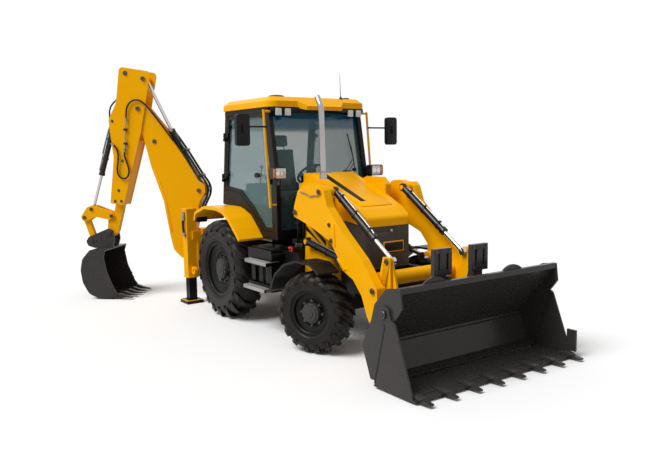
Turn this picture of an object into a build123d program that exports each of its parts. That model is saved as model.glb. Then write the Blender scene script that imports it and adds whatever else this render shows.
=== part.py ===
"""Backhoe loader: each function makes one named sub-part, in millimetres, +X forward, +Y left, +Z up."""

import math
import os

from build123d import *

# Wheels and axles
WHEELBASE = 2170.0
REAR_TRACK = 1760.0
REAR_TYRE_R = 690.0
REAR_TYRE_W = 420.0
REAR_RIM_R = 365.0
REAR_HUB_OUT = 140.0
FRONT_TRACK = 1860.0
FRONT_TYRE_R = 475.0
FRONT_TYRE_W = 325.0
FRONT_RIM_R = 245.0
FRONT_HUB_OUT = 110.0
RIM_WALL = 12.0
BEAD_SHARE = 0.39
REAR_LUGS = 12
FRONT_LUGS = 12
REAR_LUG_DEPTH = 34.0
FRONT_LUG_DEPTH = 26.0
LUG_SLANT = 22.0
REAR_STUB_R = 60.0
FRONT_STUB_R = 42.0
KINGPIN_Y = 740.0
KINGPIN_R = 25.0
STEER_DEG = 20.5
SEAT_GAP = 0.4
RUN_GAP = 6.0

# Main frame
RAIL_IN = 300.0
RAIL_OUT = 380.0
RAIL_TOP = 920.0
RAIL_LOW = 620.0
REAR_RAIL_TOP = 1050.0
NOSE_X = 2720.0
REAR_BEAM_X = -1030.0
REAR_BEAM_D = 100.0
REAR_BEAM_H = 120.0
TOP_BEAM_Z = 1000.0
LOW_BEAM_Z = 420.0
LEG_X = -1140.0
LEG_Y = 970.0
LEG_TUBE = 160.0
LEG_BAR = 125.0
LEG_TUBE_LOW = 400.0
LEG_TUBE_TOP = 1470.0
FOOT_SIZE = 270.0
FOOT_H = 55.0
GROUND_GAP = 4.0

# Loader linkage: places in side view (X, Z)
TOWER_IN = 460.0
TOWER_OUT = 500.0
RAM_Y = 560.0
EYE_HALF = 30.0
TILT_Y = 535.0
TILT_EYE_HALF = 20.0
LEVER_IN = 596.0
LEVER_OUT = 620.0
LINK_IN = 562.0
LINK_OUT = 586.0
ARM_IN = 656.0
ARM_OUT = 760.0
ARM_PIVOT = (1590.0, 1580.0)
LIFT_BASE = (1540.0, 1190.0)
LIFT_HEAD = (2470.0, 1010.0)
TILT_BASE = (2110.0, 1850.0)
LEVER_FOOT = (3090.0, 830.0)
LEVER_HEAD = (3150.0, 1140.0)
BUCKET_PIVOT = (3220.0, 360.0)
CROSS_TUBE = (2840.0, 880.0)
CROSS_TUBE_R = 85.0
PIN_R = 30.0
LIFT_BARREL_R = 45.0
LIFT_ROD_R = 26.0
TILT_BARREL_R = 42.0
TILT_ROD_R = 24.0
PLATE = 20.0

# Loader bucket
BUCKET_HALF = 1190.0
BUCKET_WALL = 20.0
CLAM_PIVOT = (3780.0, 770.0)
BUCKET_LIP = (3985.0, 1045.0)
TOOTH_TIP_X = 4364.0
TOOTH_COUNT = 8
TOOTH_W = 56.0
FORK_Y = (-375.0, 165.0)
FORK_HALF = 125.0
HUMP_Y = (-687.0, 456.0)
HUMP_R = 230.0

# Cab and bonnet
CAB_HALF = 750.0
CAB_POST = 60.0
CAB_FLOOR = 1180.0
CAB_TOP = 2900.0
ROOF_TOP = 3035.0
ROOF_HALF = 790.0
DOOR_GAP = 6.0
DOOR_RIM = 45.0
GLASS = 8.0
BONNET_HALF = 400.0
NOSE_PANEL_X = 2465.0
NOSE_HALF = 335.0
GRILLE_SLATS = 12
BONNET_HINGE = (1245.0, 1990.0)
SHEET = 25.0
FENDER_IN = 620.0
FENDER_OUT = 1100.0
EXHAUST_R = 36.0
EXHAUST_X = 1740.0
EXHAUST_Y = -445.0

# Backhoe: places in its own plane (reach behind the slew post, Z)
SLEW_X = -1360.0
SLEW_Y = -550.0
SLEW_DEG = 46.0
CARRIAGE_HALF = 270.0
SLEW_PIN_R = 45.0
BOOM_FOOT = (315.0, 758.0)
BOOM_TIP = (1048.0, 3025.0)
DIPPER_RAM_BASE = (99.0, 1729.0)
DIPPER_RAM_HEAD = (943.0, 3488.0)
BUCKET_RAM_BASE = (1513.0, 2836.0)
LEVER_PIVOT = (1606.0, 1315.0)
LEVER_RAM_PIN = (1948.0, 1427.0)
LEVER_LINK_PIN = (2076.0, 1289.0)
HITCH_PIN = (1638.0, 1039.0)
HITCH_LINK_PIN = (1949.0, 912.0)
SLIDE_DEG = 11.2
BOOM_HALF = 112.0
DIPPER_IN = 119.0
DIPPER_OUT = 138.0
SLIDER_HALF = 52.0
RAM_EAR_HALF = 70.0
SLIDER_DEPTH = 130.0
DIG_BUCKET_HALF = 392.0
DIG_WALL = 18.0
DIG_TEETH = 5


def outline(points, radius=0.0):
    """Closed face in a flat sketch, with its corners rounded to one radius or a list of them."""
    return make_face(FilletPolyline(*points, radius=radius, close=True))


def prism(points, y0, y1, radius=0.0):
    """Side-view outline (X, Z) drawn out from y0 to y1."""
    return extrude(Plane.XZ.offset(-y1) * outline(points, radius), amount=y1 - y0)


def slab(points, z0, z1, radius=0.0):
    """Plan outline (X, Y) drawn up from z0 to z1."""
    return extrude(Plane.XY.offset(z0) * outline(points, radius), amount=z1 - z0)


def block(x0, x1, y0, y1, z0, z1):
    return Pos((x0 + x1) / 2, (y0 + y1) / 2, (z0 + z1) / 2) * Box(x1 - x0, y1 - y0, z1 - z0)


def cross_pin(place, y0, y1, radius):
    """Round bar along Y at a side-view place."""
    turned = Rot(90, 0, 0) * Cylinder(radius, abs(y1 - y0))
    return Pos(place[0], (y0 + y1) / 2, place[1]) * turned


def both_sides(shape):
    """The piece and its mirror image across the machine's middle."""
    return Compound([*shape.solids(), *mirror(shape, Plane.XZ).solids()])


def fused_sides(shape):
    return shape + mirror(shape, Plane.XZ)


def right_side(shape):
    return mirror(shape, Plane.XZ)


def toward(start, end, distance):
    """Point a distance along the line from start to end."""
    length = math.dist(start, end)
    return tuple(a + (b - a) * distance / length for a, b in zip(start, end))


def rod_between(start, end, radius, y_middle):
    """Round bar in a side-view plane between two places."""
    length = math.dist(start, end)
    angle = math.degrees(math.atan2(end[1] - start[1], end[0] - start[0]))
    middle = ((start[0] + end[0]) / 2, (start[1] + end[1]) / 2)
    turn = Rot(0, 90 - angle, 0)
    return Pos(middle[0], y_middle, middle[1]) * turn * Cylinder(radius, length)


def ram_barrel(base, head, barrel_r, rod_r, reach, eye_r, y_middle, half):
    """Cylinder barrel: eye on the base pin, tube bored for the rod, gland at its mouth."""
    mouth = toward(base, head, reach)
    tube = rod_between(toward(base, head, eye_r * 0.6), mouth, barrel_r, y_middle)
    gland = rod_between(toward(base, head, reach - 45), mouth, barrel_r + 8, y_middle)
    eye = cross_pin(base, y_middle - half, y_middle + half, eye_r)
    wide = max(half, barrel_r) + 5
    hole = cross_pin(base, y_middle - wide, y_middle + wide, PIN_R + SEAT_GAP)
    bore_start = toward(base, head, eye_r + 25)
    bore = rod_between(bore_start, toward(base, head, reach + 5), rod_r + SEAT_GAP, y_middle)
    return tube + gland + eye - hole - bore


def ram_rod(base, head, rod_r, inside, eye_r, y_middle, half):
    """Cylinder rod: bar that starts inside the barrel and ends in a solid eye with its own pin."""
    bar = rod_between(toward(base, head, inside), head, rod_r, y_middle)
    return bar + cross_pin(head, y_middle - half, y_middle + half, eye_r)


def faceted_ring(section, sides):
    """Many-sided ring about the Y axis with a closed section of (radius, y) corners."""
    faces = []
    for index in range(sides):
        start, end = (2 * math.pi * turn / sides for turn in (index, index + 1))
        for (r0, y0), (r1, y1) in zip(section, section[1:] + section[:1]):
            corners = [(r0, y0, start), (r0, y0, end), (r1, y1, end), (r1, y1, start)]
            places = [Vector(r * math.cos(a), y, r * math.sin(a)) for r, y, a in corners]
            faces.append(Face(Wire.make_polygon(places, close=True)))
    return Solid(Shell(faces))


def tyre(outer_r, width, rim_r, lugs, lug_depth):
    """Tyre about the Y axis: beads, bulged walls and two rows of slanted lugs on its crown."""
    bead = width * BEAD_SHARE
    half = width / 2
    crown = half * 0.74
    base = outer_r - lug_depth
    shoulder = base - 0.16 * (outer_r - rim_r)
    wall = rim_r + 0.5 * (outer_r - rim_r)
    seat = rim_r / math.cos(math.pi / (2 * lugs))
    outward = [
        (base, crown), (shoulder, half * 0.95), (wall, half), (wall - 8, half), (rim_r + 22, bead),
            (seat, bead),
    ]
    carcass = faceted_ring([(r, -y) for r, y in reversed(outward)] + outward, 2 * lugs)
    section = [
        (6, base - 25), (6, outer_r - 7), (crown, outer_r - 7), (half * 0.91, shoulder + 14),
        (half * 0.93, shoulder - 40), (half * 0.76, shoulder - 40),
    ]
    lug_w = 0.42 * 2 * math.pi * outer_r / lugs
    lug = extrude(Plane.YZ * make_face(Polyline(*section, close=True)), amount=lug_w / 2, both=True)
    lug = Pos(0, half / 2, 0) * Rot(0, 0, LUG_SLANT) * Pos(0, -half / 2, 0) * lug
    other = mirror(lug, Plane.XZ)
    pitch = 360 / lugs
    rows = [Rot(0, pitch * index, 0) * lug for index in range(lugs)]
    rows += [Rot(0, pitch * (index + 0.5), 0) * other for index in range(lugs)]
    return carcass + rows


def wheel(rim_r, width, hub_out, hub_in, stub_r, hub_r):
    """Rim barrel with lips, dished disc and hub, bored for the axle stub from the inner (+Y) side."""
    bead = width * BEAD_SHARE
    seat = rim_r - SEAT_GAP
    lip = bead + SEAT_GAP
    disc = hub_out - 50
    points = [
        (seat, -bead), (seat, bead), (seat, lip), (rim_r + 18, lip), (rim_r + 18, lip + RIM_WALL),
        (seat - RIM_WALL, lip + RIM_WALL), (seat - RIM_WALL, -disc + 16), (hub_r, -disc + 16),
        (hub_r, hub_in), (stub_r + SEAT_GAP, hub_in), (stub_r + SEAT_GAP, -hub_out + 25), (0, -hub_out + 25),
        (0, -hub_out), (hub_r * 0.8, -hub_out), (hub_r * 0.8, -disc), (seat - RIM_WALL, -disc),
        (seat - RIM_WALL, -lip - RIM_WALL), (rim_r + 18, -lip - RIM_WALL), (rim_r + 18, -lip), (seat, -lip),
    ]
    return revolve(make_face(Polyline(*points, close=True)), Axis.Y)


def rear_right(shape):
    return Pos(0, -REAR_TRACK / 2, REAR_TYRE_R) * shape


def steer(shape, side):
    """Turns a front wheel's pieces about their kingpin into the steered rest position."""
    pivot = Pos(WHEELBASE, side * KINGPIN_Y, 0)
    return pivot * Rot(0, 0, STEER_DEG) * pivot.inverse() * shape


def front_pair(shape):
    """Right and left copies of a piece made about the front right wheel's centre."""
    right = Pos(WHEELBASE, -FRONT_TRACK / 2, FRONT_TYRE_R) * shape
    return steer(right, -1), steer(mirror(right, Plane.XZ), 1)


def rear_axle():
    tube = cross_pin((0, REAR_TYRE_R), -600, 600, 95)
    flange = fused_sides(cross_pin((0, REAR_TYRE_R), 590, 640, 150))
    stub = fused_sides(cross_pin((0, REAR_TYRE_R), 600, REAR_TRACK / 2 + 70, REAR_STUB_R))
    centre = Pos(0, 0, REAR_TYRE_R) * Sphere(185)
    pads = fused_sides(block(-110, 110, RAIL_IN, RAIL_OUT, REAR_TYRE_R - 60, 800))
    below_rail = block(-400, 400, -700, 700, 300, 800)
    return (tube + flange + stub + centre + pads) & below_rail


def front_axle():
    z = FRONT_TYRE_R
    beam = block(WHEELBASE - 60, WHEELBASE + 60, -640, 640, z - 60, z + 70)
    centre = Pos(WHEELBASE, 0, z) * Rot(0, 90, 0) * Cylinder(120, 240)
    ear = slab([(-60, 600), (60, 600), (45, 800), (-45, 800)], -20, 20, 30)
    ears = Pos(WHEELBASE, 0, z + 125) * ear + Pos(WHEELBASE, 0, z - 125) * ear
    web = block(WHEELBASE - 60, WHEELBASE + 60, 600, 650, z - 145, z + 145)
    hole = Pos(WHEELBASE, KINGPIN_Y, z) * Cylinder(KINGPIN_R + SEAT_GAP, 400)
    ends = fused_sides(ears + web - hole)
    saddle_cut = block(WHEELBASE - 200, WHEELBASE + 200, -300, 300, z + 70, z + 300)
    ram = Pos(WHEELBASE - 130, 0, z) * Rot(90, 0, 0) * Cylinder(36, 780)
    ram_strap = fused_sides(block(WHEELBASE - 130, WHEELBASE, 150, 190, z - 30, z + 30))
    return beam + (centre - saddle_cut) + ends + ram + ram_strap


def knuckles():
    z = FRONT_TYRE_R
    body = Pos(WHEELBASE, -KINGPIN_Y, z) * Box(110, 96, 2 * (105 - RUN_GAP))
    kingpin = Pos(WHEELBASE, -KINGPIN_Y, z) * Cylinder(KINGPIN_R, 290)
    spindle = cross_pin((WHEELBASE, z), -KINGPIN_Y, -FRONT_TRACK / 2 - 60, FRONT_STUB_R)
    right = body + kingpin + spindle
    return steer(right, -1), steer(mirror(right, Plane.XZ), 1)


def chassis_frame():
    rail_points = [
        (REAR_BEAM_X, 450), (REAR_BEAM_X, REAR_RAIL_TOP), (400, REAR_RAIL_TOP), (850, RAIL_TOP),
            (NOSE_X, RAIL_TOP),
        (NOSE_X, RAIL_LOW), (850, RAIL_LOW), (420, 800), (-420, 800), (-560, 450),
    ]
    rails = fused_sides(prism(rail_points, RAIL_IN, RAIL_OUT))
    deck = block(REAR_BEAM_X, -430, -RAIL_IN, RAIL_IN, REAR_RAIL_TOP - 40, REAR_RAIL_TOP)
    rear_cross = block(-760, -640, -RAIL_IN, RAIL_IN, 480, 700)
    mid_cross = block(880, 960, -RAIL_IN, RAIL_IN, RAIL_LOW, RAIL_TOP)
    nose = block(NOSE_X - 110, NOSE_X, -RAIL_IN, RAIL_IN, RAIL_LOW, RAIL_TOP - 80)
    saddle = block(WHEELBASE - 110, WHEELBASE + 110, -RAIL_OUT, RAIL_OUT, FRONT_TYRE_R + 70, RAIL_LOW)
    eye_plate = fused_sides(
        prism([(NOSE_X - 60, 520), (NOSE_X - 60, 640), (NOSE_X + 20, 640), (NOSE_X + 20, 520)], RAIL_IN,
            RAIL_IN + 40, 30)
    )
    eye_hole = cross_pin((NOSE_X - 20, 570), -RAIL_OUT, RAIL_OUT, 25)
    cab_mounts = fused_sides(block(660, 765, RAIL_IN, 560, RAIL_TOP - 60, CAB_FLOOR))
    cab_mounts += fused_sides(block(-400, -300, RAIL_IN, 560, REAR_RAIL_TOP - 60, CAB_FLOOR))
    return rails + deck + rear_cross + mid_cross + nose + saddle + eye_plate + cab_mounts - eye_hole


def loader_towers():
    points = [(1380, RAIL_TOP), (1420, 1640), (1500, 1750), (1880, 1750), (1900, 1600), (1860, 1300),
        (2000, RAIL_TOP)]
    plate = prism(points, TOWER_IN, TOWER_OUT)
    foot = block(1380, 2000, RAIL_IN, TOWER_OUT, RAIL_TOP, RAIL_TOP + 40)
    side = block(1380, 2000, RAIL_OUT, TOWER_OUT, RAIL_LOW + 60, RAIL_TOP)
    arm_pin = cross_pin(ARM_PIVOT, TOWER_IN, ARM_OUT + 14, PIN_R)
    arm_collar = cross_pin(ARM_PIVOT, TOWER_OUT, ARM_IN - RUN_GAP, PIN_R + 28)
    lift_pin = cross_pin(LIFT_BASE, TOWER_IN, RAM_Y + EYE_HALF + 14, PIN_R)
    return both_sides(plate + foot + side + arm_pin + arm_collar + lift_pin)


def engine_block():
    inner = RAIL_IN - SEAT_GAP
    sump = block(1320, 2060, -inner, inner, RAIL_LOW + 20, RAIL_TOP)
    crank = block(1320, 2400, -inner, inner, RAIL_TOP - 70, 1260)
    rocker = block(1420, 2300, -170, 170, 1260, 1380)
    return sump + crank + rocker


def rear_frame():
    low_x = REAR_BEAM_X - REAR_BEAM_D
    beams = block(low_x, REAR_BEAM_X, -LEG_Y, LEG_Y, TOP_BEAM_Z, TOP_BEAM_Z + REAR_BEAM_H)
    beams += block(low_x, REAR_BEAM_X, -LEG_Y, LEG_Y, LOW_BEAM_Z, LOW_BEAM_Z + REAR_BEAM_H)
    half = LEG_TUBE / 2
    tube = block(LEG_X - half, LEG_X + half, LEG_Y - half, LEG_Y + half, LEG_TUBE_LOW, LEG_TUBE_TOP)
    gusset = block(REAR_BEAM_X - 40, REAR_BEAM_X, LEG_Y - 300, LEG_Y - half, LOW_BEAM_Z + 60, TOP_BEAM_Z + 60)
    frame = beams + fused_sides(tube + gusset)
    room = LEG_BAR / 2 + SEAT_GAP
    shaft = block(LEG_X - room, LEG_X + room, LEG_Y - room, LEG_Y + room, LEG_TUBE_LOW - 10, LEG_TUBE_TOP - 25)
    eye = fused_sides(cross_pin((LEG_X + half + 65, 520), LEG_Y - 25, LEG_Y + 25, 55))
    eye_hole = cross_pin((LEG_X + half + 65, 520), -LEG_Y - 40, LEG_Y + 40, 25)
    eye_web = fused_sides(block(LEG_X + half - 10, LEG_X + half + 65, LEG_Y - 25, LEG_Y + 25, 465, 575))
    return frame - fused_sides(shaft) + eye + eye_web - eye_hole


def stabiliser_leg():
    half = LEG_BAR / 2
    foot_half = FOOT_SIZE / 2
    bar = block(LEG_X - half, LEG_X + half, LEG_Y - half, LEG_Y + half, GROUND_GAP + 30, LEG_TUBE_TOP - 620)
    foot = block(
        LEG_X - foot_half, LEG_X + foot_half, LEG_Y - foot_half, LEG_Y + foot_half, GROUND_GAP, GROUND_GAP + FOOT_H
    )
    return bar + chamfer(foot.faces().sort_by(Axis.Z)[-1].edges(), 18)


def loader_arms():
    points = [
        (1530, 1520), (1548, 1650), (1640, 1845), (1760, 1925), (1900, 1938), (2030, 1900), (2120, 1925),
        (2185, 1870),
        (2260, 1680), (2550, 1410),
        (2900, 1140), (3060, 960), (3150, 860), (3165, 600), (3290, 390), (3255, 285), (3160, 290), (2985, 520),
        (2890, 740), (2740, 900), (2560, 975), (2420, 1160), (2300, 1290), (1900, 1430), (1640, 1500),
    ]
    radii = [45, 45, 60, 80, 80, 60, 45, 40, 60, 200, 120, 120, 40, 120, 60, 60, 60, 200, 120, 120, 120,
        200, 120, 100, 40]
    arm = prism(points, ARM_IN, ARM_OUT, radii)
    lift_ear = prism([(2440, 1160), (2580, 1060), (2500, 940), (2430, 960)], ARM_IN, ARM_IN + 30, 20)
    lift_boss = cross_pin(LIFT_HEAD, RAM_Y + EYE_HALF + RUN_GAP, ARM_IN + 30, 50)
    tilt_pin = cross_pin(TILT_BASE, TILT_Y - TILT_EYE_HALF - 14, ARM_OUT + 14, PIN_R)
    tilt_collar = cross_pin(TILT_BASE, TILT_Y + TILT_BARREL_R + RUN_GAP, ARM_IN, PIN_R + 22)
    lever_pin = cross_pin(LEVER_FOOT, LEVER_IN, ARM_OUT + 14, PIN_R)
    lever_collar = cross_pin(LEVER_FOOT, LEVER_OUT + 2, ARM_IN, PIN_R + 14)
    arm = arm + lift_ear + lift_boss + tilt_pin + tilt_collar + lever_pin + lever_collar
    arm -= cross_pin(ARM_PIVOT, ARM_IN - 10, ARM_OUT + 10, PIN_R + SEAT_GAP)
    arm -= cross_pin(BUCKET_PIVOT, ARM_IN - 10, ARM_OUT + 10, PIN_R + SEAT_GAP)
    tube = cross_pin(CROSS_TUBE, -ARM_IN - 10, ARM_IN + 10, CROSS_TUBE_R)
    return fused_sides(arm) + tube


def lift_rams():
    barrel = ram_barrel(LIFT_BASE, LIFT_HEAD, LIFT_BARREL_R, LIFT_ROD_R, 720, 55, RAM_Y, EYE_HALF)
    rod = ram_rod(LIFT_BASE, LIFT_HEAD, LIFT_ROD_R, 110, 48, RAM_Y, EYE_HALF)
    return both_sides(barrel), both_sides(rod)


def tilt_rams():
    barrel = ram_barrel(TILT_BASE, LEVER_HEAD, TILT_BARREL_R, TILT_ROD_R, 900, 52, TILT_Y, TILT_EYE_HALF)
    rod = ram_rod(TILT_BASE, LEVER_HEAD, TILT_ROD_R, 330, 42, TILT_Y, TILT_EYE_HALF)
    return both_sides(barrel), both_sides(rod)


def strap(start, end, y0, y1, eye_r):
    """Flat link with round ends about two pins."""
    sketch = SlotCenterToCenter(math.dist(start, end), 2 * eye_r)
    angle = math.degrees(math.atan2(end[1] - start[1], end[0] - start[0]))
    middle = ((start[0] + end[0]) / 2, (start[1] + end[1]) / 2)
    return extrude(Plane.XZ.offset(-y1) * (Pos(*middle) * Rot(0, 0, angle) * sketch), amount=y1 - y0)


def link_foot():
    """Bucket end of the link: lever and bucket arms are equal and parallel, so the link only shifts."""
    return tuple(p + h - f for p, h, f in zip(BUCKET_PIVOT, LEVER_HEAD, LEVER_FOOT))


def tilt_levers():
    lever = strap(LEVER_FOOT, LEVER_HEAD, LEVER_IN, LEVER_OUT, 55)
    lever -= cross_pin(LEVER_FOOT, LEVER_IN - 5, LEVER_OUT + 5, PIN_R + SEAT_GAP)
    lever += cross_pin(LEVER_HEAD, LINK_IN - 2, LEVER_OUT, PIN_R - 4)
    return both_sides(lever)


def tilt_links():
    link = strap(LEVER_HEAD, link_foot(), LINK_IN, LINK_OUT, 46)
    link -= cross_pin(LEVER_HEAD, LINK_IN - 5, LINK_OUT + 5, PIN_R - 4 + SEAT_GAP)
    return both_sides(link)


def bucket_back():
    back = prism(
        [
            BUCKET_LIP, (3962, 1040), (3480, 440), (3478, 380), (3590, 75), (3604, 75), (3612, 95), (3500, 395),
            (3502, 428), (3985, 1020),
        ],
        -BUCKET_HALF + 45, BUCKET_HALF - 45, [0, 0, 60, 60, 0, 0, 0, 40, 40, 0],
    )
    lip_bar = prism([(3925, 1045), (3985, 1045), (3985, 985), (3925, 985)], -BUCKET_HALF + 25,
        BUCKET_HALF - 25, 8)
    cheek_points = [
        (3985, 1045), (3790, 1020), (3610, 840), (3555, 670), (3410, 390), (3540, 70), (3606, 72),
            (3640, 86), (3705, 84),
        (3872, 715), (3925, 740), (4010, 850),
    ]
    cheek = prism(cheek_points, BUCKET_HALF - 45, BUCKET_HALF - 25,
        [12, 80, 80, 60, 30, 10, 5, 5, 5, 20, 20, 20])
    pivot_pin = cross_pin(CLAM_PIVOT, BUCKET_HALF - 45, BUCKET_HALF + 12, PIN_R)
    foot = link_foot()
    ear_points = [
        (BUCKET_PIVOT[0] - 60, BUCKET_PIVOT[1] - 50), (BUCKET_PIVOT[0] - 60, BUCKET_PIVOT[1] + 50),
        (foot[0] - 58, foot[1]), (foot[0], foot[1] + 58), (3700, 712), (3482, 440), (3478, 380), (3530, 250),
    ]
    inner_ear = prism(ear_points, LEVER_IN, LEVER_OUT, [50, 50, 40, 40, 0, 0, 0, 40])
    outer_points = [
        (BUCKET_PIVOT[0] - 60, BUCKET_PIVOT[1] - 50), (BUCKET_PIVOT[0] - 60, BUCKET_PIVOT[1] + 60), (3560, 545),
        (3482, 440), (3478, 380), (3530, 250),
    ]
    outer_ear = prism(outer_points, ARM_OUT + RUN_GAP, ARM_OUT + RUN_GAP + PLATE, [50, 50, 0, 0, 0, 40])
    pivot = cross_pin(BUCKET_PIVOT, LEVER_IN, ARM_OUT + RUN_GAP + PLATE, PIN_R)
    link_boss = cross_pin(foot, LINK_OUT + 4, LEVER_OUT, 40)
    side = cheek + pivot_pin + inner_ear + outer_ear + pivot + link_boss
    sill = prism(
        [(3594, 84), (3608, 104), (3650, 94), (3730, 76), (3730, 66),
            (3645, 82)], -BUCKET_HALF + 45, BUCKET_HALF - 45
    )
    shape = back + lip_bar + fused_sides(side) + sill
    for y in HUMP_Y:
        below = Pos(y, 1000 - HUMP_R) * Rectangle(2 * HUMP_R, 2 * HUMP_R)
        hump = Pos(y, 1100 - HUMP_R) * Circle(HUMP_R) - below
        shape += extrude(Plane.YZ.offset(3930) * hump, amount=22)
    return shape


def bucket_clam():
    floor = prism(
        [(3624, 26), (4120, 20), (4228, 26), (4228, 42), (4130, 46), (3660, 54),
            (3640, 70)], -BUCKET_HALF, BUCKET_HALF
    )
    cheek_points = [
        (3640, 28), (4195, 24), (3935, 700), (3880, 735), (3850, 830), (3780, 862), (3705, 830), (3690, 760),
        (3780, 690), (3800, 640),
    ]
    cheek = prism(cheek_points, BUCKET_HALF - 20, BUCKET_HALF, [10, 10, 30, 30, 40, 60, 40, 50, 30, 40])
    cheek -= cross_pin(CLAM_PIVOT, BUCKET_HALF - 30, BUCKET_HALF + 10, PIN_R + SEAT_GAP)
    tooth_points = [(4110, 64), (4225, 66), (TOOTH_TIP_X, 44), (TOOTH_TIP_X + 6, 30), (4240, 14), (4110, 14)]
    clam = floor + fused_sides(cheek)
    pitch = (2 * BUCKET_HALF - 140) / (TOOTH_COUNT - 1)
    for index in range(TOOTH_COUNT):
        y = -BUCKET_HALF + 70 + index * pitch
        clam += prism(tooth_points, y - TOOTH_W / 2, y + TOOTH_W / 2)
    return clam + block(4120, 4235, BUCKET_HALF - 5, BUCKET_HALF + 20, 75, 315)


def fold_forks():
    """Pair of fold-over fork tines stowed on the back of the bucket, heel up."""
    points = [back_face(0.35), back_face(0.62), (3745, 1010), (3755, 1320), (3700, 1320), (3560, 760)]
    tine = prism(points, -45, 45, [0, 0, 20, 10, 10, 40])
    frame = block(3700, 3750, -FORK_HALF, FORK_HALF, 1045, 1325)
    frame -= block(3690, 3760, -FORK_HALF + 50, FORK_HALF - 50, 1100, 1275)
    fork = tine + frame
    return Compound([(Pos(0, y, 0) * fork).solid() for y in FORK_Y])


def back_face(share):
    """Place on the rear face of the bucket's back sheet, from its bend up to its lip."""
    low, high = (3480.0, 440.0), (3962.0, 1040.0)
    return tuple(a + (b - a) * share + gap for a, b, gap in zip(low, high, (-SEAT_GAP / 2, SEAT_GAP / 2)))


def cab_side_outline():
    return [
        (-410, 1575), (-255, CAB_TOP), (945, CAB_TOP), (1120, 1950), (1120, CAB_FLOOR), (745, CAB_FLOOR),
        (630, 1290),
        (410, 1480), (100, 1575),
    ]


def door_opening():
    return [
        (-330, 1790), (-190, 2830), (875, 2830), (1035, 1940), (1035, 1275), (770, 1275), (470, 1530),
            (110, 1745),
    ]


def cab_frame():
    inner = CAB_HALF - CAB_POST
    side = prism(cab_side_outline(), inner, CAB_HALF) - prism(door_opening(), inner - 10, CAB_HALF + 10, 25)
    header = block(860, 935, -inner, inner, CAB_TOP - 70, CAB_TOP)
    header += block(-255, -190, -inner, inner, CAB_TOP - 70, CAB_TOP)
    sill = block(1060, 1120, -inner, inner, CAB_FLOOR, CAB_FLOOR + 120)
    front_floor = block(735, 1120, -inner - 10, inner + 10, CAB_FLOOR, CAB_FLOOR + 50)
    rear_floor = block(-410, 745, -600, 600, CAB_FLOOR, CAB_FLOOR + 50)
    tub = fused_sides(block(-410, 720, 570, 610, CAB_FLOOR, 1480) + block(-405, 100, 570, CAB_HALF - 10,
        1562, 1600))
    tub += fused_sides(block(-405, 250, 570, 610, 1470, 1600) + block(-405, -355, 570, CAB_HALF - 5, 1575,
        1680))
    rear_wall = block(-410, -365, -610, 610, CAB_FLOOR, 1680)
    hinge_post = hinge_pieces(False)
    return fused_sides(side + hinge_post) + header + sill + front_floor + rear_floor + tub + rear_wall


def hinge_line(z):
    """X of the door hinge axis at a height: it leans with the rear post."""
    low, high = door_opening()[0], door_opening()[1]
    return low[0] - 12 + (high[0] - low[0]) * (z - low[1]) / (high[1] - low[1])


def along_hinge(z, length, radius):
    lean = math.degrees(math.atan2(hinge_line(2800) - hinge_line(1800), 1000))
    return Pos(hinge_line(z), CAB_HALF + 28, z) * Rot(0, lean, 0) * Cylinder(radius, length)


def hinge_pieces(on_door):
    """Left door's hinge knuckles: the post's carry the pins, the door's turn on them."""
    shape = None
    for z in (1980, 2560):
        if on_door:
            x = hinge_line(z)
            piece = along_hinge(z, 60, 22) + block(x, x + 90, CAB_HALF + 6, CAB_HALF + 30, z - 25, z + 25)
            piece += block(x + 24, x + 90, CAB_HALF - 8, CAB_HALF + 30, z - 25, z + 25)
            piece -= along_hinge(z, 80, 9 + SEAT_GAP)
        else:
            x = hinge_line(z - 60)
            foot = block(x - 45, x + 5, CAB_HALF - 10, CAB_HALF + 30, z - 76, z - 44)
            piece = along_hinge(z - 60, 44, 22) + foot + along_hinge(z - 20, 110, 9)
        shape = piece if shape is None else shape + piece
    return shape


def door(part):
    opening = outline(door_opening(), 25)
    leaf = offset(opening, amount=-DOOR_GAP, kind=Kind.INTERSECTION)
    pane_hole = offset(opening, amount=-DOOR_GAP - DOOR_RIM, kind=Kind.INTERSECTION)
    pane = offset(opening, amount=-DOOR_GAP - DOOR_RIM - SEAT_GAP, kind=Kind.INTERSECTION)
    inner = CAB_HALF - CAB_POST + 8
    outer = CAB_HALF - 4
    if part == "glass":
        middle = (inner + outer) / 2
        return extrude(Plane.XZ.offset(-middle - GLASS / 2) * pane, amount=GLASS)
    frame = extrude(Plane.XZ.offset(-outer) * (leaf - pane_hole), amount=outer - inner)
    return frame + hinge_pieces(True)


def cab_glass():
    half = CAB_HALF - CAB_POST - SEAT_GAP
    screen = prism(
        [
            (1072, CAB_FLOOR + 120 + SEAT_GAP), (1080, CAB_FLOOR + 120 + SEAT_GAP), (1080, 1945), (905, 2829),
            (897, 2829), (1072, 1943),
        ],
        -half, half,
    )
    rear = prism([(-392, 1681), (-384, 1681), (-232, 2829), (-240, 2829)], -half, half)
    return Compound([screen.solid(), rear.solid()])


def cab_roof():
    points = [(-345, -ROOF_HALF), (1060, -ROOF_HALF), (1060, ROOF_HALF), (-345, ROOF_HALF)]
    crown = ROOF_TOP - 60
    roof = slab(points, CAB_TOP, crown, 150)
    roof += extrude(Plane.XY.offset(crown) * outline(points, 150), amount=ROOF_TOP - crown, taper=55)
    visor = prism([(1040, CAB_TOP), (1140, CAB_TOP - 40), (1160, CAB_TOP + 10), (1040, ROOF_TOP - 40)],
        -430, 430)
    visor -= slab([(1000, 430), (1200, 430), (1200, 230)], CAB_TOP - 60, ROOF_TOP)
    visor -= slab([(1000, -430), (1200, -430), (1200, -230)], CAB_TOP - 60, ROOF_TOP)
    return roof + visor


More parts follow.
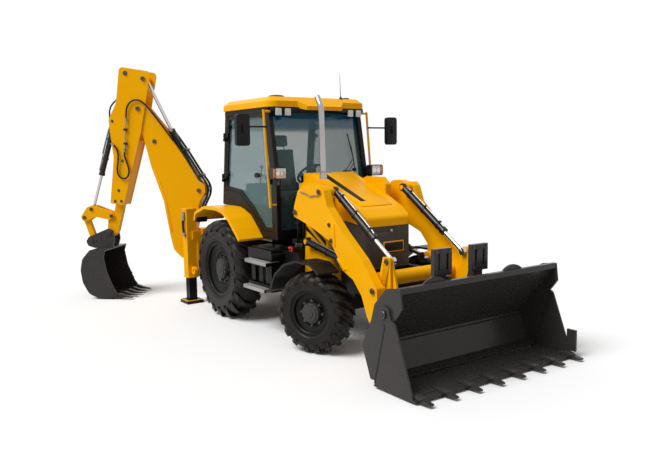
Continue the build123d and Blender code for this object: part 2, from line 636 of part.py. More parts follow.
def seat():
    cushion = prism([(60, 1600), (60, 1740), (540, 1760), (570, 1700), (560, 1600)], -240, 240,
        [10, 40, 30, 30, 10])
    back = prism([(60, 1690), (-60, 2380), (40, 2400), (160, 1740)], -230, 230, [10, 40, 40, 30])
    return cushion + back


def seat_base():
    lower = block(120, 500, -170, 170, CAB_FLOOR + 50, 1520)
    upper = block(90, 530, -210, 210, 1520, 1600)
    return lower + upper


def steering_column():
    console = prism(
        [(1056, CAB_FLOOR + 50), (1056, 1880), (960, 1900), (880, 1780),
            (860, CAB_FLOOR + 50)], -260, 260, [0, 40, 40, 40, 0]
    )
    start, end = (930, 1860), (800, 2010)
    column = rod_between(start, end, 32, 0)
    lean = math.degrees(math.atan2(end[0] - start[0], end[1] - start[1]))
    rim = Pos(end[0], 0, end[1]) * Rot(0, lean, 0) * Torus(190, 16)
    hub = Pos(end[0], 0, end[1]) * Rot(0, lean, 0) * Cylinder(50, 30)
    spokes = Pos(end[0], 0, end[1]) * Rot(0, lean, 0) * (Box(380, 34, 14) + Box(34, 380, 14))
    return console + column + rim + hub + spokes


def fenders():
    outer = [
        (-700, 1330), (-660, 1455), (-330, 1562), (60, 1562), (250, 1530), (430, 1440), (590, 1310),
            (720, 1180),
    ]
    inner = [(700, 1150), (560, 1270), (410, 1400), (235, 1490), (60, 1520), (-330, 1520), (-620, 1425),
        (-660, 1330)]
    radii = [0, 60, 200, 200, 300, 300, 300, 0, 0, 300, 300, 300, 200, 200, 40, 0]
    return both_sides(prism(outer + inner, FENDER_IN, FENDER_OUT, radii))


def step_platforms():
    box_top = 1085.0
    tank = block(780, 1370, RAIL_OUT, 1000, 560, box_top)
    tank -= block(760, 1330, 860, 1010, 640, 900)
    low_step = block(800, 1330, 850, 1085, 560, 600)
    high_step = block(850, 1380, 880, 1085, 900, 945)
    outer = [(1360, 600), (1460, 640), (1560, 835), (1780, 990), (2050, 1065), (2350, 1065), (2520, 975)]
    inner = [(2510, 950), (2340, 1038), (2055, 1038), (1795, 965), (1580, 815), (1485, 625), (1360, 570)]
    radii = [0, 60, 150, 200, 200, 150, 0, 0, 150, 200, 200, 150, 60, 0]
    guard = prism(outer + inner, 790, 1080, radii)
    web = prism([(1360, 580), (1360, box_top), (1700, box_top), (1780, 985), (1560, 830), (1460, 640)],
        790, 830)
    return both_sides(tank + low_step + high_step + guard + web)


def bonnet():
    points = [(1225, 2040), (2300, 1632), (2448, 1530), (NOSE_PANEL_X, 1425), (1225, 1620)]
    plan = [(1225, -BONNET_HALF), (1950, -BONNET_HALF), (NOSE_PANEL_X, -NOSE_HALF)]
    plan += [(x, -y) for x, y in reversed(plan)]
    body = prism(points, -BONNET_HALF, BONNET_HALF, [0, 300, 80, 0, 0])
    body &= slab(plan, 1300, 2100, [0, 300, 70, 70, 300, 0])
    inner = [(1225 + SHEET, 2003), (2290, 1600), (2425, 1510), (NOSE_PANEL_X - SHEET, 1400),
        (1225 + SHEET, 1560)]
    inner_plan = [(1225 + SHEET, -BONNET_HALF + SHEET), (1950, -BONNET_HALF + SHEET)]
    inner_plan += [(NOSE_PANEL_X - SHEET, -NOSE_HALF + SHEET)]
    inner_plan += [(x, -y) for x, y in reversed(inner_plan)]
    body -= prism(inner, -BONNET_HALF, BONNET_HALF) & slab(inner_plan, 1300, 2100)
    knuckle = block(1225, 1262, -BONNET_HALF + 40, BONNET_HALF - 40, 1975, 2010)
    knuckle += cross_pin(BONNET_HINGE, -BONNET_HALF + 40, BONNET_HALF - 40, 20)
    slots = block(1180, 1290, -48, 48, 1900, 2100)
    return body + knuckle - slots - cross_pin(BONNET_HINGE, -BONNET_HALF - 50, BONNET_HALF + 50, 10 + SEAT_GAP)


def scuttle():
    """Bulkhead between cab and engine, with the bonnet's hinge lug and pin."""
    wall = block(1130, 1170, -380, 380, RAIL_TOP, 2000)
    lug = prism([(1150, 1960), (1150, 2005), (1245, 2008), (1262, 1985), (1240, 1968)], -40, 40)
    pin = cross_pin(BONNET_HINGE, -BONNET_HALF + 60, BONNET_HALF - 60, 10)
    foot = block(1130, 1260, -RAIL_OUT, RAIL_OUT, RAIL_TOP, RAIL_TOP + 30)
    return wall + lug + pin + foot


def grille():
    """Front panel under the bonnet, with side panels and two banks of slats."""
    plan = [(2010, -BONNET_HALF + 12), (2130, -BONNET_HALF + 12), (NOSE_PANEL_X + 5, -NOSE_HALF + 4)]
    plan += [(x, -y) for x, y in reversed(plan)]
    inner = [(2000, -BONNET_HALF + 37), (2130, -BONNET_HALF + 37), (NOSE_PANEL_X - 30, -NOSE_HALF + 29)]
    inner += [(x, -y) for x, y in reversed(inner)]
    shell = slab(plan, RAIL_TOP, 1600, [0, 100, 60, 60, 100, 0]) - slab(inner, RAIL_TOP - 10, 1620)
    shell -= prism([(1990, 1495), (1990, 1700), (2600, 1700), (2600, 1398), (NOSE_PANEL_X, 1418)], -600, 600)
    face = NOSE_PANEL_X + 5
    for bank in (-1, 1):
        y0, y1 = sorted((bank * 35, bank * (NOSE_HALF - 55)))
        shell -= block(face - 12, face + 5, y0, y1, 980, 1330)
        for index in range(GRILLE_SLATS):
            z = 1000 + index * 312 / (GRILLE_SLATS - 1)
            shell += block(face - 14, face - 4, y0, y1, z - 5, z + 5)
    return shell


def side_cowls():
    points = [(1270, 1750.2), (1270, 1900), (1520, 1980), (1800, 1980), (1915, 1890), (1915, 1750.2)]
    return both_sides(prism(points, BONNET_HALF + RUN_GAP, TOWER_OUT, [0, 30, 60, 60, 30, 0]))


def exhaust_stack():
    path = FilletPolyline(
        (EXHAUST_X, EXHAUST_Y, 1980), (EXHAUST_X - 30, EXHAUST_Y, 2870), (EXHAUST_X - 110, EXHAUST_Y,
            2990), radius=120
    )
    profile = Plane(origin=path @ 0, z_dir=path % 0) * (Circle(EXHAUST_R) - Circle(EXHAUST_R - 3))
    pipe = sweep(profile, path=path)
    collar = Pos(EXHAUST_X, EXHAUST_Y, 2010) * (Cylinder(EXHAUST_R + 9, 60) - Cylinder(EXHAUST_R - 2, 70))
    return (pipe + collar) - block(EXHAUST_X - 80, EXHAUST_X + 80, EXHAUST_Y - 80, EXHAUST_Y + 80, 1900, 1980.3)


def lamps():
    head = Pos(1225, 790, 2050) * Box(110, 210, 150)
    head = fillet(head.edges().filter_by(Axis.X), 30)
    stalk = block(1120.2, 1190, 720, 745, 1895, 1945) + block(1160, 1190, 720, 745, 1895, 1990)
    work = None
    for y in (510, 650):
        lamp = block(965, 1035, y - 45, y + 45, 2812, CAB_TOP)
        work = lamp if work is None else work + lamp
    return both_sides(head + stalk + work)


def grab_rails():
    start, end = (985, 2860), (1112, 1610)
    foot = CAB_HALF + 90
    bar = rod_between(start, end, 16, foot)
    low = cross_pin((1105, 1640), CAB_HALF, foot, 14)
    high = cross_pin((990, 2840), CAB_HALF - 30, foot, 14)
    return both_sides(bar + low + high - block(800, 1200, 600, CAB_HALF, 1500, 2900))


def mirrors():
    glass = Pos(1085, 1205, 2595) * Box(60, 185, 390)
    glass = fillet(glass.edges().filter_by(Axis.X), 40)
    arm = Pos(1060, 1000, 2640) * Rot(90, 0, 0) * Cylinder(11, 340)
    stem = block(1024.8, 1071, 830, 852, 2629, 2651)
    return both_sides(glass + arm + stem)


def reach(points):
    """Backhoe side-view points (reach, Z) as flat points behind the slew post."""
    return [(-s, z) for s, z in points]


def at(place):
    return (-place[0], place[1])


def backhoe(shape):
    """Puts a piece made about the slew post, reaching back, at its slewed rest position."""
    return Pos(SLEW_X, SLEW_Y, 0) * Rot(0, 0, SLEW_DEG) * shape


def kingpost_carriage():
    back = REAR_BEAM_X - REAR_BEAM_D - SEAT_GAP
    front = REAR_BEAM_X + SEAT_GAP
    top = TOP_BEAM_Z + REAR_BEAM_H + SEAT_GAP
    low = LOW_BEAM_Z - SEAT_GAP
    half = CARRIAGE_HALF
    plate = block(back - 45, back, -half, half, low - 35, top + 35)
    hooks = block(back - 45, front + 30, -half, half, top, top + 35)
    hooks += block(front, front + 30, -half, half, REAR_RAIL_TOP + 15, top + 35)
    hooks += block(back - 45, front + 30, -half, half, low - 35, low)
    lug_points = [(back - 20, -170), (SLEW_X - 30, -110), (SLEW_X - 110, -60), (SLEW_X - 110, 60),
        (SLEW_X - 30, 110), (back - 20, 170)]
    lugs = slab(lug_points, 985, 1065, [0, 60, 50, 50, 60, 0]) + slab(lug_points, 435, 515,
        [0, 60, 50, 50, 60, 0])
    pin = Pos(SLEW_X, 0, 750) * Cylinder(SLEW_PIN_R, 690)
    return Pos(0, SLEW_Y, 0) * (plate + hooks + lugs + pin)


def slew_post():
    barrel = Pos(0, 0, 750) * Cylinder(100, 2 * (235 - RUN_GAP))
    tongue_points = reach([(0, 590), (0, 930), (210, 926), (410, 821), (420, 730), (346, 651), (210, 585)])
    tongue = prism(tongue_points, -50, 50, [0, 0, 60, 60, 60, 60, 60])
    post = barrel + tongue - Pos(0, 0, 750) * Cylinder(SLEW_PIN_R + SEAT_GAP, 600)
    post += cross_pin(at(BOOM_FOOT), -BOOM_HALF - 14, BOOM_HALF + 14, PIN_R + 8)
    return backhoe(post)


def boom():
    points = reach([
        (225, 695), (404, 630), (547, 778), (597, 998), (689, 1562), (873, 2100), (995, 2614), (1145, 2995),
        (1080, 3112), (952, 3080), (595, 2643), (355, 2295), (99, 1869), (0, 1800), (-5, 1700),
        (89, 1559), (199, 1096),
    ])
    radii = [70, 80, 120, 300, 400, 400, 300, 70, 60, 100, 300, 300, 60, 40, 60, 100, 300]
    shape = prism(points, -BOOM_HALF, BOOM_HALF, radii)
    core = reach([
        (0, 400), (653, 382), (574, 888), (606, 1049), (441, 1052), (210, 1056), (0, 900),
    ])
    shape -= prism(core, -50 - RUN_GAP, 50 + RUN_GAP)
    ram_slot = reach([
        (-63, 1641), (-63, 2000), (738, 3209), (984, 3019), (717, 2572), (473, 2239), (304, 1898), (252, 1637),
    ])
    shape -= prism(ram_slot, -64, 64)
    shape -= cross_pin(at(BOOM_FOOT), -200, 200, PIN_R + 8 + SEAT_GAP)
    shape += cross_pin(at(DIPPER_RAM_BASE), -BOOM_HALF - 12, BOOM_HALF + 12, PIN_R)
    shape -= cross_pin(at(BOOM_TIP), -200, 200, PIN_R + 8 + SEAT_GAP)
    return backhoe(shape)


def dipper_ram():
    base, head = at(DIPPER_RAM_BASE), at(DIPPER_RAM_HEAD)
    barrel = ram_barrel(base, head, 48, 28, 1060, 52, 0, EYE_HALF)
    rod = ram_rod(base, head, 28, 860, 46, 0, EYE_HALF)
    return backhoe(barrel), backhoe(rod)


def slide_shift(place, distance):
    """Place moved down along the dipper's sliding direction."""
    angle = math.radians(SLIDE_DEG)
    return (place[0] + distance * math.sin(angle), place[1] - distance * math.cos(angle))


def slider_line(side, distance):
    """Point on one face of the sliding bar: side in millimetres from its middle line."""
    angle = math.radians(SLIDE_DEG)
    start = (1467, 1523)
    point = slide_shift(start, distance)
    return (point[0] + side * math.cos(angle), point[1] + side * math.sin(angle))


def dipper():
    points = reach([
        (1317, 3680), (858, 3600), (829, 3554), (934, 3041), (1014, 2658), (1361, 1494), (1583, 1527),
            (1490, 2253),
        (1534, 2667), (1550, 2861), (1409, 3125), (1341, 3624),
    ])
    plates = prism(points, DIPPER_IN, DIPPER_OUT, [50, 40, 40, 100, 100, 10, 10, 300, 200, 100, 200, 40])
    both = plates + mirror(plates, Plane.XZ)
    front_web = reach([(1070, 2523), (1366, 1498), (1385, 1502), (1097, 2502)])
    tail_web = reach([(1317, 3664), (1269, 3664), (1312, 3349), (1337, 3349)])
    webs = prism(front_web, -DIPPER_OUT + 5, DIPPER_OUT - 5) + prism(tail_web, -DIPPER_OUT + 5, DIPPER_OUT - 5)
    gap = SLIDER_HALF + SEAT_GAP
    guides = reach([slider_line(-40, -60), slider_line(40, -60), slider_line(40, -620), slider_line(-40, -620)])
    guide = prism(guides, gap, DIPPER_IN + 5)
    shape = both + webs + guide + mirror(guide, Plane.XZ)
    shape += cross_pin(at(BOOM_TIP), -DIPPER_OUT - 10, DIPPER_OUT + 10, PIN_R + 8)
    boss = cross_pin(at(DIPPER_RAM_HEAD), EYE_HALF + RUN_GAP, DIPPER_OUT + 10, 34)
    return backhoe(shape + boss + mirror(boss, Plane.XZ))


def dipper_slider():
    half = SLIDER_DEPTH / 2
    bar = reach([slider_line(-half, -1150), slider_line(half, -1150), slider_line(half, 150),
        slider_line(-half, 150)])
    nose = reach([
        slider_line(-half, 130), slider_line(half, 130), (1664, 1336), (1675, 1275), (1702, 1049), (1664, 978),
        (1588, 979), (1518, 1063),
    ])
    shape = prism(bar, -SLIDER_HALF, SLIDER_HALF) + prism(nose, -SLIDER_HALF + 6, SLIDER_HALF - 6,
        [0, 0, 30, 60, 50, 40, 40, 80])
    ear = reach([slider_line(half - 5, -1150), slider_line(half - 5, -1020), (1469, 2769), (1577, 2810),
        (1577, 2892), (1490, 2902)])
    shape += prism(ear, -RAM_EAR_HALF, RAM_EAR_HALF, [0, 0, 40, 40, 40, 40])
    ear_slot = reach([(1393, 2707), (1393, 2972), (1599, 2974), (1599, 2708)])
    shape -= prism(ear_slot, -50, 50)
    shape += cross_pin(at(BUCKET_RAM_BASE), -RAM_EAR_HALF, RAM_EAR_HALF, PIN_R)
    shape += cross_pin(at(LEVER_PIVOT), -84, 84, PIN_R)
    shape -= cross_pin(at(HITCH_PIN), -200, 200, PIN_R + SEAT_GAP)
    return backhoe(shape)


def bucket_ram():
    base, head = at(BUCKET_RAM_BASE), at(LEVER_RAM_PIN)
    barrel = ram_barrel(base, head, 42, 24, 900, 46, 0, EYE_HALF)
    rod = ram_rod(base, head, 24, 380, 40, 0, EYE_HALF)
    return backhoe(barrel), backhoe(rod)


def tipping_lever():
    points = reach([(1545, 1297), (1599, 1378), (1926, 1492), (2025, 1455), (2140, 1299), (2102, 1229),
        (2025, 1231), (1904, 1307), (1643, 1250)])
    plate = prism(points, 58, 80, [40, 50, 50, 60, 50, 40, 40, 80, 50])
    plate -= cross_pin(at(LEVER_PIVOT), 40, 100, PIN_R + SEAT_GAP)
    boss = cross_pin(at(LEVER_RAM_PIN), EYE_HALF + RUN_GAP, 84, 34)
    side = plate + boss
    pin = cross_pin(at(LEVER_LINK_PIN), -84, 84, PIN_R - 4)
    return backhoe(side + mirror(side, Plane.XZ) + pin)


def tipping_link():
    link = strap(at(LEVER_LINK_PIN), at(HITCH_LINK_PIN), -40, 40, 44)
    link -= cross_pin(at(LEVER_LINK_PIN), -60, 60, PIN_R - 4 + SEAT_GAP)
    return backhoe(link)


def quick_hitch():
    points = reach([(1577, 1092), (1664, 1111), (2000, 975), (2050, 900), (2014, 825), (1900, 792),
        (1600, 792), (1556, 929)])
    plate = prism(points, 90, 112, [40, 40, 40, 40, 40, 40, 40, 40])
    base = reach([(1590, 812), (1900, 812), (1900, 790), (1590, 790)])
    shape = plate + mirror(plate, Plane.XZ) + prism(base, -112, 112)
    return backhoe(shape + cross_pin(at(HITCH_PIN), -122, 122, PIN_R))


def dig_bucket():
    outer = [(1590, 800), (1850, 800), (1985, 650), (2022, 470), (1995, 270), (1890, 85), (1740, 22),
        (1560, 26), (1390, 58)]
    inner = [(1390, 76), (1560, 46), (1735, 42), (1875, 101), (1976, 276), (2002, 468), (1967, 640),
        (1840, 780), (1590, 780)]
    bends = [0, 60, 150, 200, 200, 150, 100, 100, 0, 0, 100, 90, 140, 190, 190, 140, 50, 0]
    shape = prism(reach(outer + inner), -DIG_BUCKET_HALF, DIG_BUCKET_HALF, bends)
    cheek = reach(outer + [(1470, 180), (1580, 450), (1625, 690)])
    side = prism(cheek, DIG_BUCKET_HALF - DIG_WALL, DIG_BUCKET_HALF, bends[:9] + [40, 300, 60])
    shape += side + mirror(side, Plane.XZ)
    tooth = reach([(1450, 40), (1450, 92), (1385, 92), (1180, 46), (1174, 32), (1385, 42)])
    for index in range(DIG_TEETH):
        y = (2 * index / (DIG_TEETH - 1) - 1) * (DIG_BUCKET_HALF - 38)
        shape += prism(tooth, y - 27, y + 27)
    return backhoe(shape)


def all_nodes():
    """Every node's shape in the machine's own frame, over the rear axle."""
    rear_tyre = rear_right(tyre(REAR_TYRE_R, REAR_TYRE_W, REAR_RIM_R, REAR_LUGS, REAR_LUG_DEPTH))
    rear_wheel = rear_right(wheel(REAR_RIM_R, REAR_TYRE_W, REAR_HUB_OUT, 225, REAR_STUB_R, 130))
    front_tyres = front_pair(tyre(FRONT_TYRE_R, FRONT_TYRE_W, FRONT_RIM_R, FRONT_LUGS, FRONT_LUG_DEPTH))
    front_wheels = front_pair(wheel(FRONT_RIM_R, FRONT_TYRE_W, FRONT_HUB_OUT, 120, FRONT_STUB_R, 95))
    knuckle_right, knuckle_left = knuckles()
    lift_barrels, lift_rods = lift_rams()
    tilt_barrels, tilt_rods = tilt_rams()
    dipper_barrel, dipper_rod = dipper_ram()
    bucket_barrel, bucket_rod = bucket_ram()
    leg = stabiliser_leg()
    return {
        "chassis_frame": chassis_frame(),
        "rear_frame": rear_frame(),
        "loader_towers": loader_towers(),
        "engine_block": engine_block(),
        "front_axle": front_axle(),
        "rear_axle": rear_axle(),
        "cab_frame": cab_frame(),
        "cab_roof": cab_roof(),
        "cab_glass": cab_glass(),
        "seat": seat(),
        "seat_base": seat_base(),
        "steering_column": steering_column(),
        "rear_fenders": fenders(),
        "step_platforms": step_platforms(),
        "scuttle": scuttle(),
        "grille": grille(),
        "side_cowls": side_cowls(),
        "exhaust_stack": exhaust_stack(),
        "lamps": lamps(),
        "grab_rails": grab_rails(),
        "mirrors": mirrors(),
        "bonnet": bonnet(),
        "door_frame_left": door("frame"),
        "door_glass_left": door("glass"),
        "door_frame_right": right_side(door("frame")),
        "door_glass_right": right_side(door("glass")),
        "knuckle_right": knuckle_right,
        "knuckle_left": knuckle_left,
        "front_tyre_right": front_tyres[0],
        "front_tyre_left": front_tyres[1],
        "front_wheel_right": front_wheels[0],
        "front_wheel_left": front_wheels[1],
        "rear_tyre_right": rear_tyre,
        "rear_tyre_left": mirror(rear_tyre, Plane.XZ),
        "rear_wheel_right": rear_wheel,
        "rear_wheel_left": mirror(rear_wheel, Plane.XZ),
        "loader_arms": loader_arms(),
        "lift_ram_barrels": lift_barrels,
        "lift_ram_rods": lift_rods,
        "tilt_ram_barrels": tilt_barrels,
        "tilt_ram_rods": tilt_rods,
        "tilt_levers": tilt_levers(),
        "tilt_links": tilt_links(),
        "bucket_back": bucket_back(),
        "bucket_clam": bucket_clam(),
        "fold_forks": fold_forks(),
        "stabiliser_left": leg,
        "stabiliser_right": mirror(leg, Plane.XZ),
        "kingpost_carriage": kingpost_carriage(),
        "slew_post": slew_post(),
        "boom": boom(),
        "dipper_ram_barrel": dipper_barrel,
        "dipper_ram_rod": dipper_rod,
        "dipper": dipper(),
        "dipper_slider": dipper_slider(),
        "bucket_ram_barrel": bucket_barrel,
        "bucket_ram_rod": bucket_rod,
        "tipping_lever": tipping_lever(),
        "tipping_link": tipping_link(),
        "dig_bucket": quick_hitch() + dig_bucket(),
    }


def base_centre(nodes):
    """Middle of the machine's footprint box, which becomes the origin."""
    boxes = [shape.bounding_box() for shape in nodes.values()]
    x = (min(b.min.X for b in boxes) + max(b.max.X for b in boxes)) / 2
    y = (min(b.min.Y for b in boxes) + max(b.max.Y for b in boxes)) / 2
    return Vector(x, y, min(b.min.Z for b in boxes))


def main():
    os.makedirs("parts", exist_ok=True)
    nodes = all_nodes()
    origin = base_centre(nodes)
    for name, shape in nodes.items():
        export_step(Pos(-origin.X, -origin.Y, -origin.Z) * shape, f"parts/{name}.step")
    print(f"origin in the machine's frame: {origin.X:.3f}, {origin.Y:.3f}, {origin.Z:.3f}")


if __name__ == "__main__":
    main()
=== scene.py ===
"""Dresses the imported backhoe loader: finishes, tyres, trim, hoses, soft seat, stage and camera."""

import math
from contextlib import contextmanager
from functools import cached_property

import bmesh
import bpy
from mathutils import Matrix, Vector


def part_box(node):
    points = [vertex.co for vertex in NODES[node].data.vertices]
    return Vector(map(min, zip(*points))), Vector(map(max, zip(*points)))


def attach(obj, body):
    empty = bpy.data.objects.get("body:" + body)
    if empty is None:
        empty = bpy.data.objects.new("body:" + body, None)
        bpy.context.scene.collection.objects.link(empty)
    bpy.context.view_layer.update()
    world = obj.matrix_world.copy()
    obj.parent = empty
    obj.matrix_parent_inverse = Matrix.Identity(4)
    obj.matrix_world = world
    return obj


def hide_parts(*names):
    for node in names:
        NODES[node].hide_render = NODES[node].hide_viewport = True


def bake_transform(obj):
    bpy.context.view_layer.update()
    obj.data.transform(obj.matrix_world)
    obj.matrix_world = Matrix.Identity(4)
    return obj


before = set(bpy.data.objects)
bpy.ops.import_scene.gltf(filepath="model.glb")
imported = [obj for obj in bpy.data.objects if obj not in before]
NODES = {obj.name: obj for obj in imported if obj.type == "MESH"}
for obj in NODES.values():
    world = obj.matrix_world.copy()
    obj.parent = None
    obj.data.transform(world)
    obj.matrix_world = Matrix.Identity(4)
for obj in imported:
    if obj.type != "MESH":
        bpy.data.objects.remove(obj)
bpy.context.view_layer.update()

bl_info = {
    "name": "Backhoe Loader Dresser",
    "version": (1, 0, 0),
    "blender": (4, 5, 0),
    "location": "View3D > Sidebar > Loader",
    "description": "Adds finishes, tyres, trim, hoses, a soft seat and a stage to a packed backhoe loader",
    "category": "Object",
}


def middle(*nodes):
    """Centre of the box round some CAD nodes."""
    boxes = [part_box(node) for node in nodes]
    low = Vector([min(b[0][i] for b in boxes) for i in range(3)])
    high = Vector([max(b[1][i] for b in boxes) for i in range(3)])
    return (low + high) / 2


# Places are in metres in the machine's frame: X ahead and Y left of the rear axle, Z up from the ground.
REAR_HUB_HEIGHT = 0.69
MACHINE = Matrix.Translation(
    middle("rear_wheel_left", "rear_wheel_right") - Vector((0.0, 0.0, REAR_HUB_HEIGHT))
)
SLEW_PIN = Vector((-1.36, -0.55, 0.0))
SLEW_TURN = math.radians(46.0)
STEER_TURN = math.radians(20.5)
# The backhoe's own frame: -X is reach behind the slew pin, Y is across the boom.
BACKHOE = MACHINE @ Matrix.Translation(SLEW_PIN) @ Matrix.Rotation(SLEW_TURN, 4, "Z")

RIGHT = -1.0
LEFT = 1.0
SIDES = ((RIGHT, "right"), (LEFT, "left"))
ARM_FACE = 0.76
TOWER_FACE = 0.5
BOOM_FACE = 0.112
DIPPER_FACE = 0.138
BONNET_TOP = (1.225, 2.04)
BONNET_SLOPE = -0.3795
SCREEN_FOOT = (1.08, 1.945)
SCREEN_SLOPE = -0.198


class LoaderSizes(bpy.types.PropertyGroup):
    """Sizes and light levels a user would change."""

    lens: bpy.props.FloatProperty(
        name="Lens", description="Camera focal length", default=37.22, unit="CAMERA",
    )
    key_power: bpy.props.FloatProperty(
        name="Key light", description="Strength of the key light", default=2.75,
    )
    sky_power: bpy.props.FloatProperty(
        name="Sky light", description="Strength of the even light", default=0.4,
    )
    rear_lugs: bpy.props.IntProperty(
        name="Rear lugs", description="Lugs in each row of a rear tyre", default=19,
    )
    front_lugs: bpy.props.IntProperty(
        name="Front lugs", description="Lugs in each row of a front tyre", default=17,
    )
    hose_radius: bpy.props.FloatProperty(
        name="Hose radius", description="Outside radius of the hydraulic hoses", default=0.013, unit="LENGTH",
    )
    pipe_radius: bpy.props.FloatProperty(
        name="Pipe radius", description="Outside radius of the steel pipes", default=0.01, unit="LENGTH",
    )


class LoaderColours(bpy.types.PropertyGroup):
    """Colours of the main finishes."""

    paint: bpy.props.FloatVectorProperty(
        name="Body paint", description="Golden yellow of the bodywork", subtype="COLOR",
        default=(1.0, 0.455, 0.0),
    )
    dark: bpy.props.FloatVectorProperty(
        name="Dark paint", description="Black of posts and legs", subtype="COLOR",
        default=(0.0065, 0.006, 0.0055),
    )
    bucket: bpy.props.FloatVectorProperty(
        name="Bucket paint", description="Charcoal of the buckets", subtype="COLOR",
        default=(0.044, 0.04, 0.0375),
    )
    glass: bpy.props.FloatVectorProperty(
        name="Glass tint", description="Green tint of the windows", subtype="COLOR",
        default=(0.09, 0.2, 0.21),
    )
    sun_band: bpy.props.FloatVectorProperty(
        name="Sun band", description="Blue strip at the top of the windows", subtype="COLOR",
        default=(0.0, 0.13, 0.24),
    )


def sizes():
    """The scene's sizes and light levels."""
    return bpy.context.scene.loader_sizes


def colours():
    """The scene's main colours."""
    return bpy.context.scene.loader_colours


def shade(colour, amount):
    """Lighter or darker version of a colour."""
    return tuple(min(1.0, channel * amount) for channel in colour)


class Shader:
    """Material with a Principled shader, and short ways to add nodes to it."""

    def __init__(self, name):
        self.material = bpy.data.materials.new(name)
        self.material.use_nodes = True
        self.tree = self.material.node_tree
        self.principled = self.tree.nodes["Principled BSDF"]

    @cached_property
    def coords(self):
        """Places on the piece in its own frame."""
        return self.add("ShaderNodeTexCoord").outputs["Object"]

    def add(self, kind, **values):
        """New node with some of its properties set."""
        node = self.tree.nodes.new(kind)
        for key, value in values.items():
            setattr(node, key, value)
        return node

    def texture(self, kind, inputs, **values):
        """Texture laid over the piece's own places."""
        node = self.add(kind, **values)
        for key, value in inputs.items():
            node.inputs[key].default_value = value
        self.tree.links.new(self.coords, node.inputs["Vector"])
        return node.outputs["Fac"]

    def noise(self, scale, detail=4.0, roughness=0.55):
        """Cloudy texture."""
        return self.texture("ShaderNodeTexNoise", {"Scale": scale, "Detail": detail, "Roughness": roughness})

    def bands(self, axis, inputs):
        """Striped texture."""
        return self.texture("ShaderNodeTexWave", inputs, wave_type="BANDS", bands_direction=axis)

    def spread(self, value, low, high, start=0.3, end=0.7):
        """Maps a texture value onto a number range."""
        node = self.add("ShaderNodeMapRange")
        for key, number in (("From Min", start), ("From Max", end), ("To Min", low), ("To Max", high)):
            node.inputs[key].default_value = number
        self.tree.links.new(value, node.inputs["Value"])
        return node.outputs["Result"]

    def mix(self, factor, first, second):
        """Mixes two colours, each a plain colour or another node's output."""
        node = self.add("ShaderNodeMix", data_type="RGBA")
        sockets = [s for s in node.inputs if s.name in ("A", "B") and s.type == "RGBA"]
        for socket, colour in zip(sockets, (first, second)):
            if isinstance(colour, tuple):
                socket.default_value = (*colour, 1.0)
            else:
                self.tree.links.new(colour, socket)
        self.tree.links.new(factor, node.inputs["Factor"])
        return [s for s in node.outputs if s.type == "RGBA"][0]

    def bump(self, height, strength, distance):
        """Fine relief in the Principled shader's normal."""
        node = self.add("ShaderNodeBump")
        node.inputs["Strength"].default_value = strength
        node.inputs["Distance"].default_value = distance
        self.tree.links.new(height, node.inputs["Height"])
        self.tree.links.new(node.outputs["Normal"], self.principled.inputs["Normal"])

    def feed(self, inputs):
        """Gives the Principled shader numbers, or other nodes' outputs."""
        for name, value in inputs.items():
            socket = self.principled.inputs[name]
            if isinstance(value, bpy.types.NodeSocket):
                self.tree.links.new(value, socket)
            else:
                socket.default_value = value


def worked_metal(
    name, colour, rough, grime=None, grime_from=0.62, metallic=0.0, gloss=0.3, peel=0.02, drift=0.06,
):
    """Painted or bare metal: slow colour drift, dust in patches, orange peel and uneven gloss."""
    paint = Shader(name)
    slow = paint.noise(1.7, detail=5.0)
    tint = paint.mix(paint.spread(slow, 0.0, 1.0), shade(colour, 1 - drift), shade(colour, 1 + drift))
    if grime:
        dust = paint.noise(6.0, detail=8.0, roughness=0.7)
        tint = paint.mix(paint.spread(dust, 0.0, 0.5, start=grime_from, end=grime_from + 0.2), tint, grime)
    fine = paint.noise(38.0, detail=6.0)
    paint.feed({
        "Base Color": tint,
        "Roughness": paint.spread(fine, rough * 0.85, min(1.0, rough * 1.2)),
        "Metallic": metallic,
        "Specular IOR Level": gloss,
    })
    paint.bump(paint.noise(260.0, detail=2.0), strength=peel, distance=0.002)
    return paint.material


def tyre_rubber(name, dark, dusty, gloss):
    """Dark rubber: dust in the moulded faces and a fine grain."""
    rubber = Shader(name)
    dust = rubber.noise(5.0, detail=9.0, roughness=0.7)
    fine = rubber.noise(60.0, detail=5.0)
    rubber.feed({
        "Base Color": rubber.mix(rubber.spread(dust, 0.0, 1.0, start=0.4, end=0.75), dark, dusty),
        "Roughness": rubber.spread(fine, 0.3, 0.48),
        "Specular IOR Level": gloss,
    })
    rubber.bump(rubber.noise(180.0, detail=4.0), strength=0.12, distance=0.003)
    return rubber.material


def window_glass(name, tint, cover, band=None, band_from=2.6):
    """Tinted safety glass: a thin dark film with a sharp reflection, and a blue strip near its top edge."""
    glass = Shader(name)
    film = glass.noise(3.0, detail=4.0)
    colour = glass.mix(glass.spread(film, 0.0, 1.0), shade(tint, 0.92), shade(tint, 1.08))
    opacity = glass.spread(film, cover * 0.97, cover * 1.03)
    if band:
        split = glass.add("ShaderNodeSeparateXYZ")
        glass.tree.links.new(glass.coords, split.inputs["Vector"])
        height = glass.spread(split.outputs["Z"], 0.0, 1.0, start=band_from, end=band_from + 0.05)
        colour = glass.mix(height, colour, band)
        opacity = glass.spread(height, cover, 0.66, start=0.0, end=1.0)
    glass.feed({
        "Base Color": colour,
        "Alpha": opacity,
        "Roughness": glass.spread(film, 0.02, 0.05),
        "Specular IOR Level": 0.5,
    })
    return glass.material


